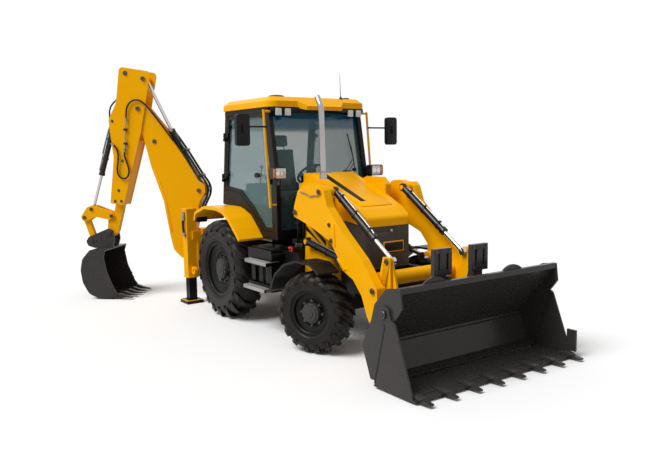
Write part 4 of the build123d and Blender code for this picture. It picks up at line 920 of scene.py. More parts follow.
class LOADER_OT_seat(bpy.types.Operator):
    """Sprung seat: cushion, backrest and headrest blown up by a short cloth simulation"""

    bl_idname = "loader.seat"
    bl_label = "Seat"

    # Corners before the pad leans back, lean in degrees, and how firmly it is filled.
    PADS = {
        "seat_cushion": dict(low=(0.075, -0.225, 1.62), high=(0.55, 0.225, 1.735), lean=-2.0, fill=0.7),
        "seat_backrest": dict(low=(0.0, -0.215, 1.76), high=(0.1, 0.215, 2.37), lean=-9.9, fill=0.6),
        "seat_headrest": dict(low=(-0.075, -0.13, 2.395), high=(0.015, 0.13, 2.56), lean=-9.9, fill=0.8),
    }
    VOXEL, QUICK_VOXEL = 0.008, 0.014
    PRESSURE = 4.0
    FRAMES = 20
    SWELL_LIMIT = 0.018
    CHANNELS = (0.25, 0.75)  # shares of the width
    CHANNEL_WIDTH, CHANNEL_DEPTH = 0.018, 0.006
    FLAT_PAD = 0.3  # a lower pad lies flat, and its channels are in its top

    def execute(self, context):
        for name, pad in self.PADS.items():
            bm = bmesh.new()
            turn = Matrix.Rotation(math.radians(pad["lean"]), 3, "Y")
            add_box(bm, pad["low"], pad["high"], round_to=0.03, turn=turn)
            piece = finish_piece(name, bm, "cloth", "chassis", sharp=180.0)
            self.inflate(context, piece)
            if name == "seat_cushion":
                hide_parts("seat")
        with shape("headrest_posts", "pipe", "chassis") as bm:
            for y in (-0.07, 0.07):
                add_bar(bm, (0.0, y, 2.33), (-0.03, y, 2.44), 0.008, sides=10)
        return {"FINISHED"}

    def inflate(self, context, piece):
        """Remeshes a pad, swells it under pressure, keeps the result, then draws in its sewn channels."""
        remesh = piece.modifiers.new("remesh", "REMESH")
        remesh.mode = "VOXEL"
        remesh.voxel_size = self.VOXEL
        self.keep(piece)
        rest = [vert.co.copy() for vert in piece.data.vertices]
        cloth = piece.modifiers.new("cloth", "CLOTH")
        cloth.settings.use_pressure = True
        cloth.settings.uniform_pressure_force = self.PRESSURE
        cloth.settings.effector_weights.gravity = 0.0
        for step in range(1, self.FRAMES + 1):
            context.scene.frame_set(step)
        self.keep(piece)
        context.scene.frame_set(1)
        cap = self.SWELL_LIMIT
        low, high = min(co.z for co in rest), max(co.z for co in rest)
        near, far = min(co.y for co in rest), max(co.y for co in rest)
        for vert, start in zip(piece.data.vertices, rest):
            step = vert.co - start
            if step.length > cap:
                vert.co = start + step * (cap / step.length)
            across = (start.y - near) / (far - near)
            groove = max(math.exp(-((across - spot) / self.CHANNEL_WIDTH) ** 2) for spot in self.CHANNELS)
            if high - low < self.FLAT_PAD:
                vert.co.z -= self.CHANNEL_DEPTH * groove * (start.z > (low + high) / 2)
            else:
                vert.co.x -= self.CHANNEL_DEPTH * groove
        smooth = piece.modifiers.new("subdivision", "SUBSURF")
        smooth.levels = 1
        smooth.render_levels = 1

    def keep(self, piece):
        """Makes the piece's modifiers part of its mesh."""
        bpy.context.view_layer.update()
        graph = bpy.context.evaluated_depsgraph_get()
        mesh = bpy.data.meshes.new_from_object(piece.evaluated_get(graph))
        mesh.name = piece.name
        piece.modifiers.clear()
        piece.data = mesh
        mesh.materials.clear()
        mesh.materials.append(FINISH["cloth"])
        mesh.shade_smooth()


class LOADER_OT_lamps(bpy.types.Operator):
    """Lenses for headlamps, indicators, work lamps and tail lamps"""

    bl_idname = "loader.lamps"
    bl_label = "Lamps"

    def execute(self, context):
        with shape("clear_lenses", "clear", "chassis", both=True) as bm:
            add_box(bm, (1.262, 0.7, 1.985), (1.2825, 0.85, 2.115), round_to=0.008)
            for y in (0.51, 0.65):
                add_box(bm, (1.034, y - 0.046, 2.788), (1.056, y + 0.046, 2.884), round_to=0.01)
        with shape("indicator_lenses", "amber", "chassis", both=True) as bm:
            add_box(bm, (1.272, 0.852, 1.99), (1.292, 0.893, 2.11), round_to=0.012)
        with shape("headlamp_bowls", "chrome", "chassis", both=True) as bm:
            bowl = [(0.034, 0.0), (0.034, 0.002), (0.026, 0.003), (0.0, 0.001)]
            for y in (0.74, 0.812):
                add_turned(bm, bowl, (1.282, y, 2.05), (1, 0, 0), steps=24)
        with shape("rear_lamp_bodies", "lamp_body", "chassis", both=True) as bm:
            add_box(bm, (-0.375, 0.47, 2.805), (-0.3, 0.56, 2.895), round_to=0.01)
            add_box(bm, (-0.375, 0.61, 2.805), (-0.3, 0.7, 2.895), round_to=0.01)
            add_box(bm, (-0.7, 0.9, 1.3), (-0.64, 1.08, 1.4), round_to=0.01)
        with shape("rear_work_lenses", "clear", "chassis", both=True) as bm:
            for y in (0.515, 0.655):
                add_box(bm, (-0.384, y - 0.038, 2.812), (-0.372, y + 0.038, 2.888), round_to=0.006)
        with shape("tail_lenses", "red_lens", "chassis", both=True) as bm:
            add_box(bm, (-0.708, 0.91, 1.31), (-0.696, 0.99, 1.39), round_to=0.006)
        with shape("rear_indicator_lenses", "amber", "chassis", both=True) as bm:
            add_box(bm, (-0.708, 0.995, 1.31), (-0.696, 1.07, 1.39), round_to=0.006)
        return {"FINISHED"}


def bonnet_z(x):
    """Height of the bonnet's top sheet at X."""
    return BONNET_TOP[1] + BONNET_SLOPE * (x - BONNET_TOP[0])


class LOADER_OT_bonnet_trim(bpy.types.Operator):
    """Raised panel and stripe on the bonnet, exhaust clamp, and mesh, blank badge and lock on the grille"""

    bl_idname = "loader.bonnet_trim"
    bl_label = "Bonnet trim"

    EXHAUST = (1.74, -0.445, 2.07)
    GRILLE_FRONT = 2.47
    STUD_COLUMNS, STUD_ROWS = 30, 22
    STUD_PITCH = (0.02, 0.017)
    STUDS_FROM = (-0.29, 0.975)

    def execute(self, context):
        lift = Vector((0.0, 0.0, 0.014))
        with shape("bonnet_panel", "yellow", "bonnet") as bm:
            plan = [(1.27, -0.33), (2.25, -0.235), (2.25, 0.235), (1.27, 0.33)]
            add_plate(bm, [(x, y, bonnet_z(x) - 0.002) for x, y in plan], lift, round_to=0.01)
        with shape("bonnet_stripe", "plastic", "bonnet") as bm:
            plan = [(1.29, -0.185), (2.13, -0.165), (2.13, -0.09), (1.29, -0.095)]
            add_plate(bm, [(x, y, bonnet_z(x) + 0.01) for x, y in plan], (0, 0, 0.007), round_to=0.003)
        with shape("exhaust_clamp", "pipe", "chassis") as bm:
            ring = [(0.042, -0.012), (0.044, -0.01), (0.044, 0.01), (0.042, 0.012)]
            ring += [(0.037, 0.012), (0.037, -0.012)]
            add_turned(bm, ring, self.EXHAUST, (0, 0, 1), steps=32, closed=True)
        self.grille_plate()
        return {"FINISHED"}

    def grille_plate(self):
        """Studded mesh, a badge left bare in its border, and the lock."""
        front = self.GRILLE_FRONT
        with shape("grille_mesh", "grille", "chassis") as bm:
            add_box(bm, (front - 0.004, -0.305, 0.96), (front + 0.004, 0.305, 1.35), round_to=0.004)
            for column in range(self.STUD_COLUMNS):
                for row in range(self.STUD_ROWS):
                    y = self.STUDS_FROM[0] + self.STUD_PITCH[0] * column
                    z = self.STUDS_FROM[1] + self.STUD_PITCH[1] * row
                    add_bar(
                        bm, (front + 0.002, y, z), (front + 0.007, y, z), 0.0066, sides=6, end_radius=0.004,
                    )
        with shape("badge_border", "yellow", "chassis") as bm:
            add_box(bm, (front + 0.002, -0.105, 1.108), (front + 0.014, 0.215, 1.24), round_to=0.006)
        with shape("badge_blank", "plastic", "chassis") as bm:
            add_box(bm, (front + 0.008, -0.09, 1.122), (front + 0.017, 0.2, 1.226), round_to=0.003)
        with shape("grille_lock", "pipe", "chassis") as bm:
            barrel = [(0.02, 0.0), (0.02, 0.008), (0.016, 0.01), (0.0, 0.009)]
            add_turned(bm, barrel, (front + 0.002, 0.024, 1.366), (1, 0, 0), steps=24)


class LOADER_OT_steps(bpy.types.Operator):
    """Tread plates on the steps, battery switch, filler caps and box latches"""

    bl_idname = "loader.steps"
    bl_label = "Steps"

    # Back, front, inner side, outer side and height of each step.
    TREADS = ((0.85, 1.38, 0.885, 1.085, 0.945), (0.8, 1.33, 0.855, 1.085, 0.6))
    STUDS = (13, 5)

    def execute(self, context):
        with shape("step_treads", "tread_plate", "chassis", both=True) as bm:
            for x0, x1, y0, y1, top in self.TREADS:
                low, high = (x0 - 0.006, y0, top - 0.002), (x1 + 0.006, y1 + 0.008, top + 0.006)
                add_box(bm, low, high, round_to=0.003)
                low, high = (x0 - 0.006, y1 + 0.001, top - 0.04), (x1 + 0.006, y1 + 0.009, top + 0.005)
                add_box(bm, low, high, round_to=0.003)
                for column in range(self.STUDS[0]):
                    for row in range(self.STUDS[1]):
                        x = x0 + 0.025 + (x1 - x0 - 0.05) * column / (self.STUDS[0] - 1)
                        y = y0 + 0.025 + (y1 - y0 - 0.05) * row / (self.STUDS[1] - 1)
                        add_bar(
                            bm, (x, y, top + 0.005), (x, y, top + 0.011), 0.011, sides=8, end_radius=0.008,
                        )
        with shape("battery_switch", "red", "chassis") as bm:
            for x, r in ((1.5, 0.026), (1.545, 0.02)):
                add_bar(bm, (x, -0.8, 1.084), (x, -0.8, 1.118), 0.012, sides=12)
                add_knob(bm, (x, -0.8, 1.128), radius=r, half=0.016, waist=r * 0.8, shoulder=0.014, steps=20)
        with shape("box_fittings", "black", "chassis") as bm:
            add_bar(
                bm, (1.29, -0.83, 1.083), (1.29, -0.83, 1.15), 0.055, sides=28, end_radius=0.05,
                round_to=0.008,
            )
            add_bar(
                bm, (0.9, 0.83, 1.083), (0.9, 0.83, 1.14), 0.06, sides=28, end_radius=0.054, round_to=0.008,
            )
            for side in (RIGHT, LEFT):
                for x in (0.88, 1.08, 1.25):
                    y = side * 0.985
                    add_box(bm, (x - 0.055, y, 0.66), (x + 0.055, y + 0.01, 0.88), round_to=0.004)
                add_box(bm, (0.8, side * 0.56, 1.085), (1.34, side * 0.96, 1.1), round_to=0.006)
                y = side * 0.79
                add_box(bm, (1.395, y - 0.02, 0.98), (1.43, y + 0.24 * side, 1.06), round_to=0.01)
        return {"FINISHED"}


class LOADER_OT_tower_trim(bpy.types.Operator):
    """Louvre panel on each loader tower: yellow bars over a black plate, which is painted shade in the slots
    """

    bl_idname = "loader.tower_trim"
    bl_label = "Tower trim"

    # Ends of each louvre bar's upper edge, in (X, Z).
    BARS = (((1.4, 1.57), (1.88, 1.268)), ((1.4, 1.45), (1.88, 1.15)), ((1.4, 1.68), (1.88, 1.385)))
    BAR_HEIGHT = 0.052

    def execute(self, context):
        face = TOWER_FACE
        # The black plate under the bars is painted shade in the louvre slots.
        with shape("louvre_slot_shade", "black", "chassis", both=True) as bm:
            corners = [(1.41, 1.66), (1.85, 1.4), (1.86, 1.12), (1.42, 1.32)]
            add_side_plate(bm, corners, face, 0.002)
        with shape("louvre_bars", "yellow", "chassis", both=True) as bm:
            for start, end in self.BARS:
                corners = [
                    start, end, (end[0], end[1] - self.BAR_HEIGHT), (start[0], start[1] - self.BAR_HEIGHT),
                ]
                add_side_plate(bm, corners, face + 0.001, 0.0045, round_to=0.002)
        with shape("cowl_bolts", "bolt", "chassis", both=True) as bm:
            for x, z in ((1.3, 1.8), (1.46, 1.88), (1.72, 1.88), (1.86, 1.8)):
                add_nut(bm, (x, face, z), (0, 1, 0), radius=0.01, height=0.009)
        return {"FINISHED"}


class LOADER_OT_arm_trim(bpy.types.Operator):
    """Pin caps, stiffener plates, pipes and hoses of the loader arms and their rams"""

    bl_idname = "loader.arm_trim"
    bl_label = "Loader arm trim"

    PINS = ((1.59, 1.58), (2.11, 1.85), (3.09, 0.83))
    # Base pins, barrel lengths and directions of the left rams.
    TILT_BASE, TILT_LENGTH = (2.11, 0.535, 1.85), 0.9
    TILT_ALONG, TILT_ABOVE = (0.826, 0.0, -0.564), (0.564, 0.0, 0.826)
    LIFT_BASE, LIFT_LENGTH, LIFT_ALONG = (1.54, 0.56, 1.19), 0.72, (0.982, 0.0, -0.19)

    def execute(self, context):
        face = ARM_FACE
        with shape("arm_pin_caps", "bolt", "loader_arms", both=True) as bm:
            for x, z in self.PINS:
                add_cap(bm, (x, face + 0.013, z), (0, 1, 0), radius=0.034)
            for x, z in ((2.311, 1.48), (2.345, 1.3)):
                add_cap(bm, (x, face + 0.01, z), (0, 1, 0), radius=0.026)
            add_cap(bm, (2.47, face, 1.04), (0, 1, 0), radius=0.03)
        with shape("arm_stiffeners", "yellow", "loader_arms", both=True) as bm:
            corners = [(2.262, 1.545), (2.395, 1.49), (2.42, 1.23), (2.3, 1.31)]
            add_side_plate(bm, corners, face - 0.001, 0.012, round_to=0.005)
            corners = [(2.48, 1.12), (2.64, 1.0), (2.56, 0.975), (2.44, 1.1)]
            add_side_plate(bm, corners, face - 0.001, 0.01, round_to=0.004)
        self.levers()
        self.pipes()
        self.hoses()
        return {"FINISHED"}

    def levers(self):
        """Forked cheeks that widen each tilt lever towards its foot."""
        with shape("lever_cheeks", "yellow", "tilt_levers", both=True) as bm:
            corners = [
                (3.085, 1.185), (3.205, 1.185), (3.215, 0.8), (3.165, 0.765), (3.025, 0.765),
                (2.985, 0.82),
            ]
            add_side_plate(bm, corners, 0.5965, 0.0235, round_to=0.004)
        with shape("lever_pin_caps", "bolt", "tilt_levers", both=True) as bm:
            add_cap(bm, (3.15, 0.62, 1.14), (0, 1, 0), radius=0.032)

    def pipes(self):
        """Steel pipes along the ram barrels, with clamps."""
        radius = sizes().pipe_radius
        along, above, base = Vector(self.TILT_ALONG), Vector(self.TILT_ABOVE), Vector(self.TILT_BASE)
        steps = ((0.06, 0.04), (0.11, 0.056), (0.25, 0.056), (0.79, 0.056), (0.85, 0.044))
        tilt = [tuple(base + along * distance + above * lift) for distance, lift in steps]
        add_tubes("tilt_ram_pipes", both_sides([tilt]), radius, "pipe", "tilt_ram_barrels")
        with shape("tilt_ram_clamps", "barrel", "tilt_ram_barrels", both=True) as bm:
            for share in (0.18, 0.52, 0.86):
                spot = base + along * (self.TILT_LENGTH * share)
                add_band(bm, spot, along, radius=0.0475)
                spot = spot + above * 0.054
                box = Vector((0.014, 0.016, 0.012))
                add_box(bm, spot - box, spot + box, round_to=0.003, turn=Matrix.Rotation(0.6, 3, "Y"))
        lift = [(1.64, 0.575, 1.225), (1.68, 0.582, 1.222), (2.14, 0.582, 1.132), (2.2, 0.575, 1.112)]
        add_tubes("lift_ram_pipes", both_sides([lift]), radius * 0.9, "pipe", "lift_ram_barrels")
        with shape("lift_ram_clamps", "barrel", "lift_ram_barrels", both=True) as bm:
            for share in (0.3, 0.62):
                spot = Vector(self.LIFT_BASE) + Vector(self.LIFT_ALONG) * (self.LIFT_LENGTH * share)
                half = Vector(self.LIFT_ALONG) * 0.014
                add_bar(bm, spot - half, spot + half, 0.052, sides=24, round_to=0.002)
        feed = [
            (1.713, 0.772, 1.83), (1.842, 0.772, 1.822), (1.93, 0.772, 1.78), (1.993, 0.772, 1.812),
            (2.092, 0.772, 1.8),
        ]
        add_tubes("arm_feed_pipes", both_sides([feed]), 0.007, "pipe", "loader_arms")

    def hoses(self):
        """Bundle between the cab and each tower, held at both ends."""
        radius = sizes().hose_radius
        routes = []
        for index, (y, x) in enumerate(((0.54, 1.33), (0.565, 1.36), (0.59, 1.345), (0.54, 1.385))):
            routes.append([
                (x + 0.11, y - 0.03, 1.79 - 0.02 * index), (x + 0.06, y, 1.81 - 0.02 * index),
                (x + 0.01, y + 0.01, 1.7), (x, y, 1.52), (x - 0.01 + 0.02 * index, y, 1.33),
                (x - 0.03, y - 0.02, 1.19), (x - 0.06, y - 0.02, 1.095),
            ])
        both = both_sides(routes)
        add_tubes("tower_hoses", both, radius, "hose", "chassis")
        add_crimps("tower_hose_ends", both, radius, "chassis")
        with shape("hose_brackets", "black", "chassis", both=True) as bm:
            add_box(bm, (1.3, 0.5, 1.4), (1.42, 0.61, 1.43), round_to=0.006)
            add_box(bm, (1.385, TOWER_FACE - 0.035, 1.395), (1.425, TOWER_FACE + 0.02, 1.435), round_to=0.004)


class LOADER_OT_bucket_trim(bpy.types.Operator):
    """Tooth shanks, ribs, a painted shadow strip along each clam seam, pin caps and bolts of the loader
    bucket
    """

    bl_idname = "loader.bucket_trim"
    bl_label = "Loader bucket trim"

    HALF = 1.19  # of the bucket's width
    TEETH = 8
    EDGE_ROOM = 0.07  # from the bucket's side to the first tooth
    CLAM_PIN = (3.78, 0.77)

    def execute(self, context):
        pitch = (2 * self.HALF - 2 * self.EDGE_ROOM) / (self.TEETH - 1)
        with shape("tooth_shanks", "charcoal", "bucket_clam") as bm:
            for index in range(self.TEETH):
                y = -self.HALF + self.EDGE_ROOM + index * pitch
                corners = [
                    (4.06, 0.05), (4.085, 0.078), (4.2, 0.082), (4.262, 0.066), (4.25, 0.044),
                    (4.06, 0.04),
                ]
                add_side_plate(bm, corners, y - 0.042, 0.084, round_to=0.006)
            add_box(bm, (4.0, -self.HALF + 0.03, 0.04), (4.13, self.HALF - 0.03, 0.056), round_to=0.004)
        with shape("tooth_bolts", "bolt", "bucket_clam") as bm:
            for index in range(self.TEETH):
                y = -self.HALF + self.EDGE_ROOM + index * pitch
                for x in (4.115, 4.165):
                    add_nut(bm, (x, y, 0.08), (0, 0, 1), radius=0.012, height=0.009)
        with shape("bucket_ribs", "charcoal", "loader_bucket") as bm:
            for y in (-0.9, -0.3, 0.3, 0.9):
                corners = [(3.48, 0.43), (3.76, 0.78), (3.74, 0.8), (3.45, 0.44)]
                add_side_plate(bm, corners, y - 0.01, 0.02, round_to=0.003)
            add_bar(bm, (3.5, -1.14, 0.4), (3.5, 1.14, 0.4), 0.026, sides=16)
        # Dark strip along the seam of the clam and the back cheek: a painted shadow in the gap.
        with shape("clam_seam_shade", "plastic", "bucket_clam", both=True) as bm:
            corners = [
                (3.646, 0.06), (3.802, 0.64), (3.786, 0.684), (3.772, 0.676), (3.782, 0.64),
                (3.628, 0.06),
            ]
            add_side_plate(bm, corners, self.HALF - 0.019, 0.02)
        with shape("clam_pin_caps", "bolt", "loader_bucket", both=True) as bm:
            add_cap(bm, (self.CLAM_PIN[0], self.HALF + 0.01, self.CLAM_PIN[1]), (0, 1, 0), radius=0.04)
        with shape("fork_bolts", "bolt", "loader_bucket") as bm:
            for y in (-0.375, 0.165):
                for dy in (-0.1, 0.1):
                    for z in (1.075, 1.3):
                        add_nut(bm, (3.75, y + dy, z), (1, 0, 0), radius=0.014, height=0.012)
        return {"FINISHED"}


def reach(s, z, across):
    """Place on the backhoe: reach behind the slew pin, height, and offset across the boom."""
    return (-s, across, z)


def add_pin_ends(bm, pins, half, radius):
    """Caps on both ends of pins across the backhoe, at (reach, height) places."""
    for s, z in pins:
        for side in (RIGHT, LEFT):
            add_cap(bm, reach(s, z, side * half), (0, side, 0), radius=radius)


def route_at(points, across):
    """Route of (reach, height) places at one offset across the boom."""
    return [reach(s, z, across) for s, z in points]


class LOADER_OT_boom_trim(bpy.types.Operator):
    """Pin caps, pipes and hoses along the boom and the dipper"""

    bl_idname = "loader.boom_trim"
    bl_label = "Boom and dipper trim"

    # Hose over the boom's tip, from the boom's back to the dipper's side, in (reach, height).
    ARCH = (
        (0.47, 2.51), (0.6, 2.69), (0.72, 2.85), (0.83, 2.99), (0.915, 3.095), (1.025, 3.165),
        (1.14, 3.15), (1.215, 3.065), (1.235, 2.96), (1.24, 2.86),
    )
    # Pipe down the dipper's side, and the loop of hose below it.
    PIPE = ((1.24, 2.87), (1.242, 2.8), (1.27, 2.64), (1.268, 2.48), (1.285, 2.38))
    LOOP = (
        (1.285, 2.39), (1.3, 2.29), (1.255, 2.17), (1.22, 2.05), (1.25, 1.945), (1.33, 1.915),
        (1.41, 1.965), (1.432, 2.07), (1.4, 2.21), (1.4, 2.35), (1.44, 2.44), (1.5, 2.48),
    )
    # Hoses on the boom's back, down to the kingpost.
    BOOM_BACK = (
        (0.56, 2.7), (0.47, 2.58), (0.33, 2.38), (0.2, 2.17), (0.08, 1.975), (0.0, 1.87),
        (-0.045, 1.77), (-0.03, 1.65), (0.03, 1.54), (0.085, 1.42),
    )
    HOSES_ACROSS = (-0.085, -0.052, 0.052, 0.085)
    # Pins of the bucket ram.
    RAM_BASE, RAM_HEAD = (1.513, 2.836), (1.948, 1.427)

    def execute(self, context):
        self.boom_caps()
        self.dipper_caps()
        radius = sizes().hose_radius
        near = -DIPPER_FACE - 0.03
        arch = route_at(self.ARCH, near)
        piece = add_tubes("boom_tip_hose", [arch], radius, "hose", None, BACKHOE)
        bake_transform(piece)
        pipe = route_at(self.PIPE, near)
        add_tubes("dipper_pipe", [pipe], sizes().pipe_radius, "pipe", "dipper", BACKHOE)
        loop = route_at(self.LOOP, near)
        add_tubes("dipper_loop_hose", [loop], radius, "hose", "dipper", BACKHOE)
        add_crimps("dipper_hose_ends", [pipe, loop], radius * 0.9, "dipper", BACKHOE, 0.045)
        with shape("dipper_pipe_clamps", "barrel", "dipper", BACKHOE) as bm:
            for s, z in ((1.262, 2.7), (1.27, 2.48)):
                face = -DIPPER_FACE
                low, high = (-s - 0.026, face - 0.046, z - 0.018), (-s + 0.026, face, z + 0.018)
                add_box(bm, low, high, round_to=0.005)
        self.boom_hoses(radius)
        self.bucket_ram_hoses(radius)
        return {"FINISHED"}

    def boom_caps(self):
        """Pin ends and edge strips of the boom."""
        with shape("boom_pin_caps", "bolt", "boom", BACKHOE) as bm:
            add_pin_ends(bm, [(0.806, 2.508)], half=BOOM_FACE, radius=0.034)
            add_pin_ends(bm, [(0.099, 1.729), (0.315, 0.758)], half=BOOM_FACE + 0.012, radius=0.034)
        with shape("boom_edge_strips", "yellow", "boom", BACKHOE) as bm:
            for side in (RIGHT, LEFT):
                corners = [
                    (0.64, 1.06), (0.72, 1.56), (0.88, 2.06), (0.86, 2.08), (0.69, 1.57),
                    (0.61, 1.08),
                ]
                edge = [reach(s - 0.05, z, side * (BOOM_FACE - 0.001)) for s, z in corners]
                add_plate(bm, edge, (0, side * 0.006, 0), round_to=0.002)

    def dipper_caps(self):
        """Pin ends and bolts of the dipper and its linkage."""
        with shape("dipper_pin_caps", "bolt", "dipper", BACKHOE) as bm:
            add_pin_ends(bm, [(1.235, 3.582)], half=DIPPER_FACE, radius=0.036)
            add_pin_ends(bm, [(0.943, 3.488), (1.048, 3.025)], half=DIPPER_FACE + 0.01, radius=0.036)
            for s, z in ((1.49, 2.838), (1.433, 1.733), (1.347, 2.207), (1.395, 1.56), (1.5, 1.56)):
                for side in (RIGHT, LEFT):
                    add_nut(bm, reach(s, z, side * DIPPER_FACE), (0, side, 0), radius=0.016, height=0.014)
        with shape("tipping_pin_caps", "bolt", "tipping_lever", BACKHOE) as bm:
            add_pin_ends(bm, [(1.948, 1.427), (1.606, 1.315), (2.076, 1.289)], half=0.0835, radius=0.03)
        with shape("hitch_pin_caps", "hub", "dig_bucket", BACKHOE) as bm:
            add_pin_ends(bm, [(1.638, 1.039), (1.949, 0.912)], half=0.112, radius=0.04)

    def boom_hoses(self, radius):
        """Hoses laid on the boom's back, from the kingpost to the dipper ram."""
        routes = [route_at(self.BOOM_BACK, across) for across in self.HOSES_ACROSS]
        add_tubes("boom_hoses", routes, radius, "hose", "boom", BACKHOE)
        add_crimps("boom_hose_ends", routes, radius, "boom", BACKHOE)
        with shape("boom_hose_clamps", "barrel", "boom", BACKHOE) as bm:
            for s, z, turn in ((0.33, 2.37, 0.97), (0.08, 1.965, 1.02)):
                low, high = (-s - 0.02, -0.106, z - 0.036), (-s + 0.02, 0.106, z + 0.03)
                add_box(bm, low, high, round_to=0.006, turn=Matrix.Rotation(turn, 3, "Y"))

    def bucket_ram_hoses(self, radius):
        """Pipes and clamps on the bucket ram's barrel, and the hose that feeds them."""
        base, head = Vector(self.RAM_BASE), Vector(self.RAM_HEAD)
        along = (head - base).normalized()
        side = Vector((-along.y, along.x))
        line = [
            base + along * d + side * off
            for d, off in ((0.1, 0.052), (0.2, 0.062), (0.55, 0.062), (0.84, 0.055))
        ]
        pipe = [reach(p.x, p.y, 0.0) for p in line]
        other = [reach(p.x, p.y, -0.026) for p in line[:3]]
        thin = sizes().pipe_radius * 0.9
        add_tubes("bucket_ram_pipes", [pipe, other], thin, "pipe", "bucket_ram_barrel", BACKHOE)
        with shape("bucket_ram_clamps", "barrel", "bucket_ram_barrel", BACKHOE) as bm:
            for distance in (0.3, 0.62):
                spot = base + along * distance
                add_band(bm, reach(spot.x, spot.y, 0.0), (-along.x, 0.0, along.y), radius=0.05)
        supply = [
            reach(1.42, 3.18, -0.06), reach(1.48, 3.15, -0.05), reach(1.56, 3.06, -0.04),
            reach(1.58, 2.96, -0.036), reach(1.57, 2.86, -0.04),
        ]
        add_tubes("bucket_ram_hose", [supply], radius, "hose", "dipper", BACKHOE)
        add_crimps("bucket_ram_hose_ends", [supply], radius, "dipper", BACKHOE, 0.04)


class LOADER_OT_dig_bucket_trim(bpy.types.Operator):
    """Tooth shanks, side cutters and hitch bolts of the digging bucket"""

    bl_idname = "loader.dig_bucket_trim"
    bl_label = "Digging bucket trim"

    HALF = 0.392  # of the bucket's width
    TEETH = 5
    EDGE_ROOM = 0.038  # from the bucket's side to the first tooth

    def execute(self, context):
        with shape("dig_tooth_shanks", "charcoal", "dig_bucket", BACKHOE) as bm:
            for index in range(self.TEETH):
                y = (2 * index / (self.TEETH - 1) - 1) * (self.HALF - self.EDGE_ROOM)
                corners = [(1.5, 0.03), (1.49, 0.1), (1.39, 0.104), (1.33, 0.084), (1.33, 0.034)]
                add_plate(bm, [reach(s, z, y - 0.034) for s, z in corners], (0, 0.068, 0), round_to=0.006)
            for side in (RIGHT, LEFT):
                corners = [
                    (1.47, 0.18), (1.56, 0.4), (1.62, 0.38), (1.54, 0.16), (1.44, 0.08),
                    (1.4, 0.084),
                ]
                cutter = [reach(s, z, side * (self.HALF - 0.001)) for s, z in corners]
                add_plate(bm, cutter, (0, side * 0.01, 0), round_to=0.003)
        with shape("dig_bucket_bolts", "hub", "dig_bucket", BACKHOE) as bm:
            for side in (RIGHT, LEFT):
                for s, z in ((1.53, 0.3), (1.5, 0.22)):
                    spot = reach(s, z, side * (self.HALF + 0.009))
                    add_nut(bm, spot, (0, side, 0), radius=0.013, height=0.011)
                for s in (1.7, 1.8, 1.88):
                    z = 0.985 - 0.4 * (s - 1.7)
                    add_nut(bm, reach(s, z, side * 0.112), (0, side, 0), radius=0.016, height=0.014)
        return {"FINISHED"}


class LOADER_OT_leg_trim(bpy.types.Operator):
    """Foot plates, collars, valve blocks and hoses of the stabiliser legs"""

    bl_idname = "loader.leg_trim"
    bl_label = "Leg trim"

    LEG = (-1.14, 0.97)  # middle of the left leg, in (X, Y)

    def execute(self, context):
        x, y = self.LEG
        for side, word in SIDES:
            with shape(f"stabiliser_{word}_foot", "yellow", f"stabiliser_{word}") as bm:
                low, high = (x - 0.128, side * y - 0.128, 0.03), (x + 0.128, side * y + 0.128, 0.058)
                add_box(bm, low, high, round_to=0.008)
        with shape("leg_collars", "yellow", "chassis", both=True) as bm:
            for z0, z1 in ((0.4, 0.425), (1.445, 1.475)):
                add_box(bm, (x - 0.088, y - 0.088, z0), (x + 0.088, y + 0.088, z1), round_to=0.008)
        with shape("leg_valves", "pipe", "chassis", both=True) as bm:
            add_box(bm, (x - 0.03, y + 0.078, 1.33), (x + 0.04, y + 0.112, 1.42), round_to=0.006)
        routes = []
        for dx in (-0.015, 0.02):
            routes.append([
                (x + dx, y + 0.104, 1.335), (x + dx, y + 0.112, 1.26), (x + dx + 0.01, y + 0.11, 1.15),
                (x + dx + 0.02, y + 0.104, 1.06),
            ])
        both = both_sides(routes)
        add_tubes("leg_hoses", both, sizes().hose_radius * 0.85, "hose", "chassis")
        add_crimps("leg_hose_ends", both, sizes().hose_radius * 0.85, "chassis", length=0.045)
        return {"FINISHED"}


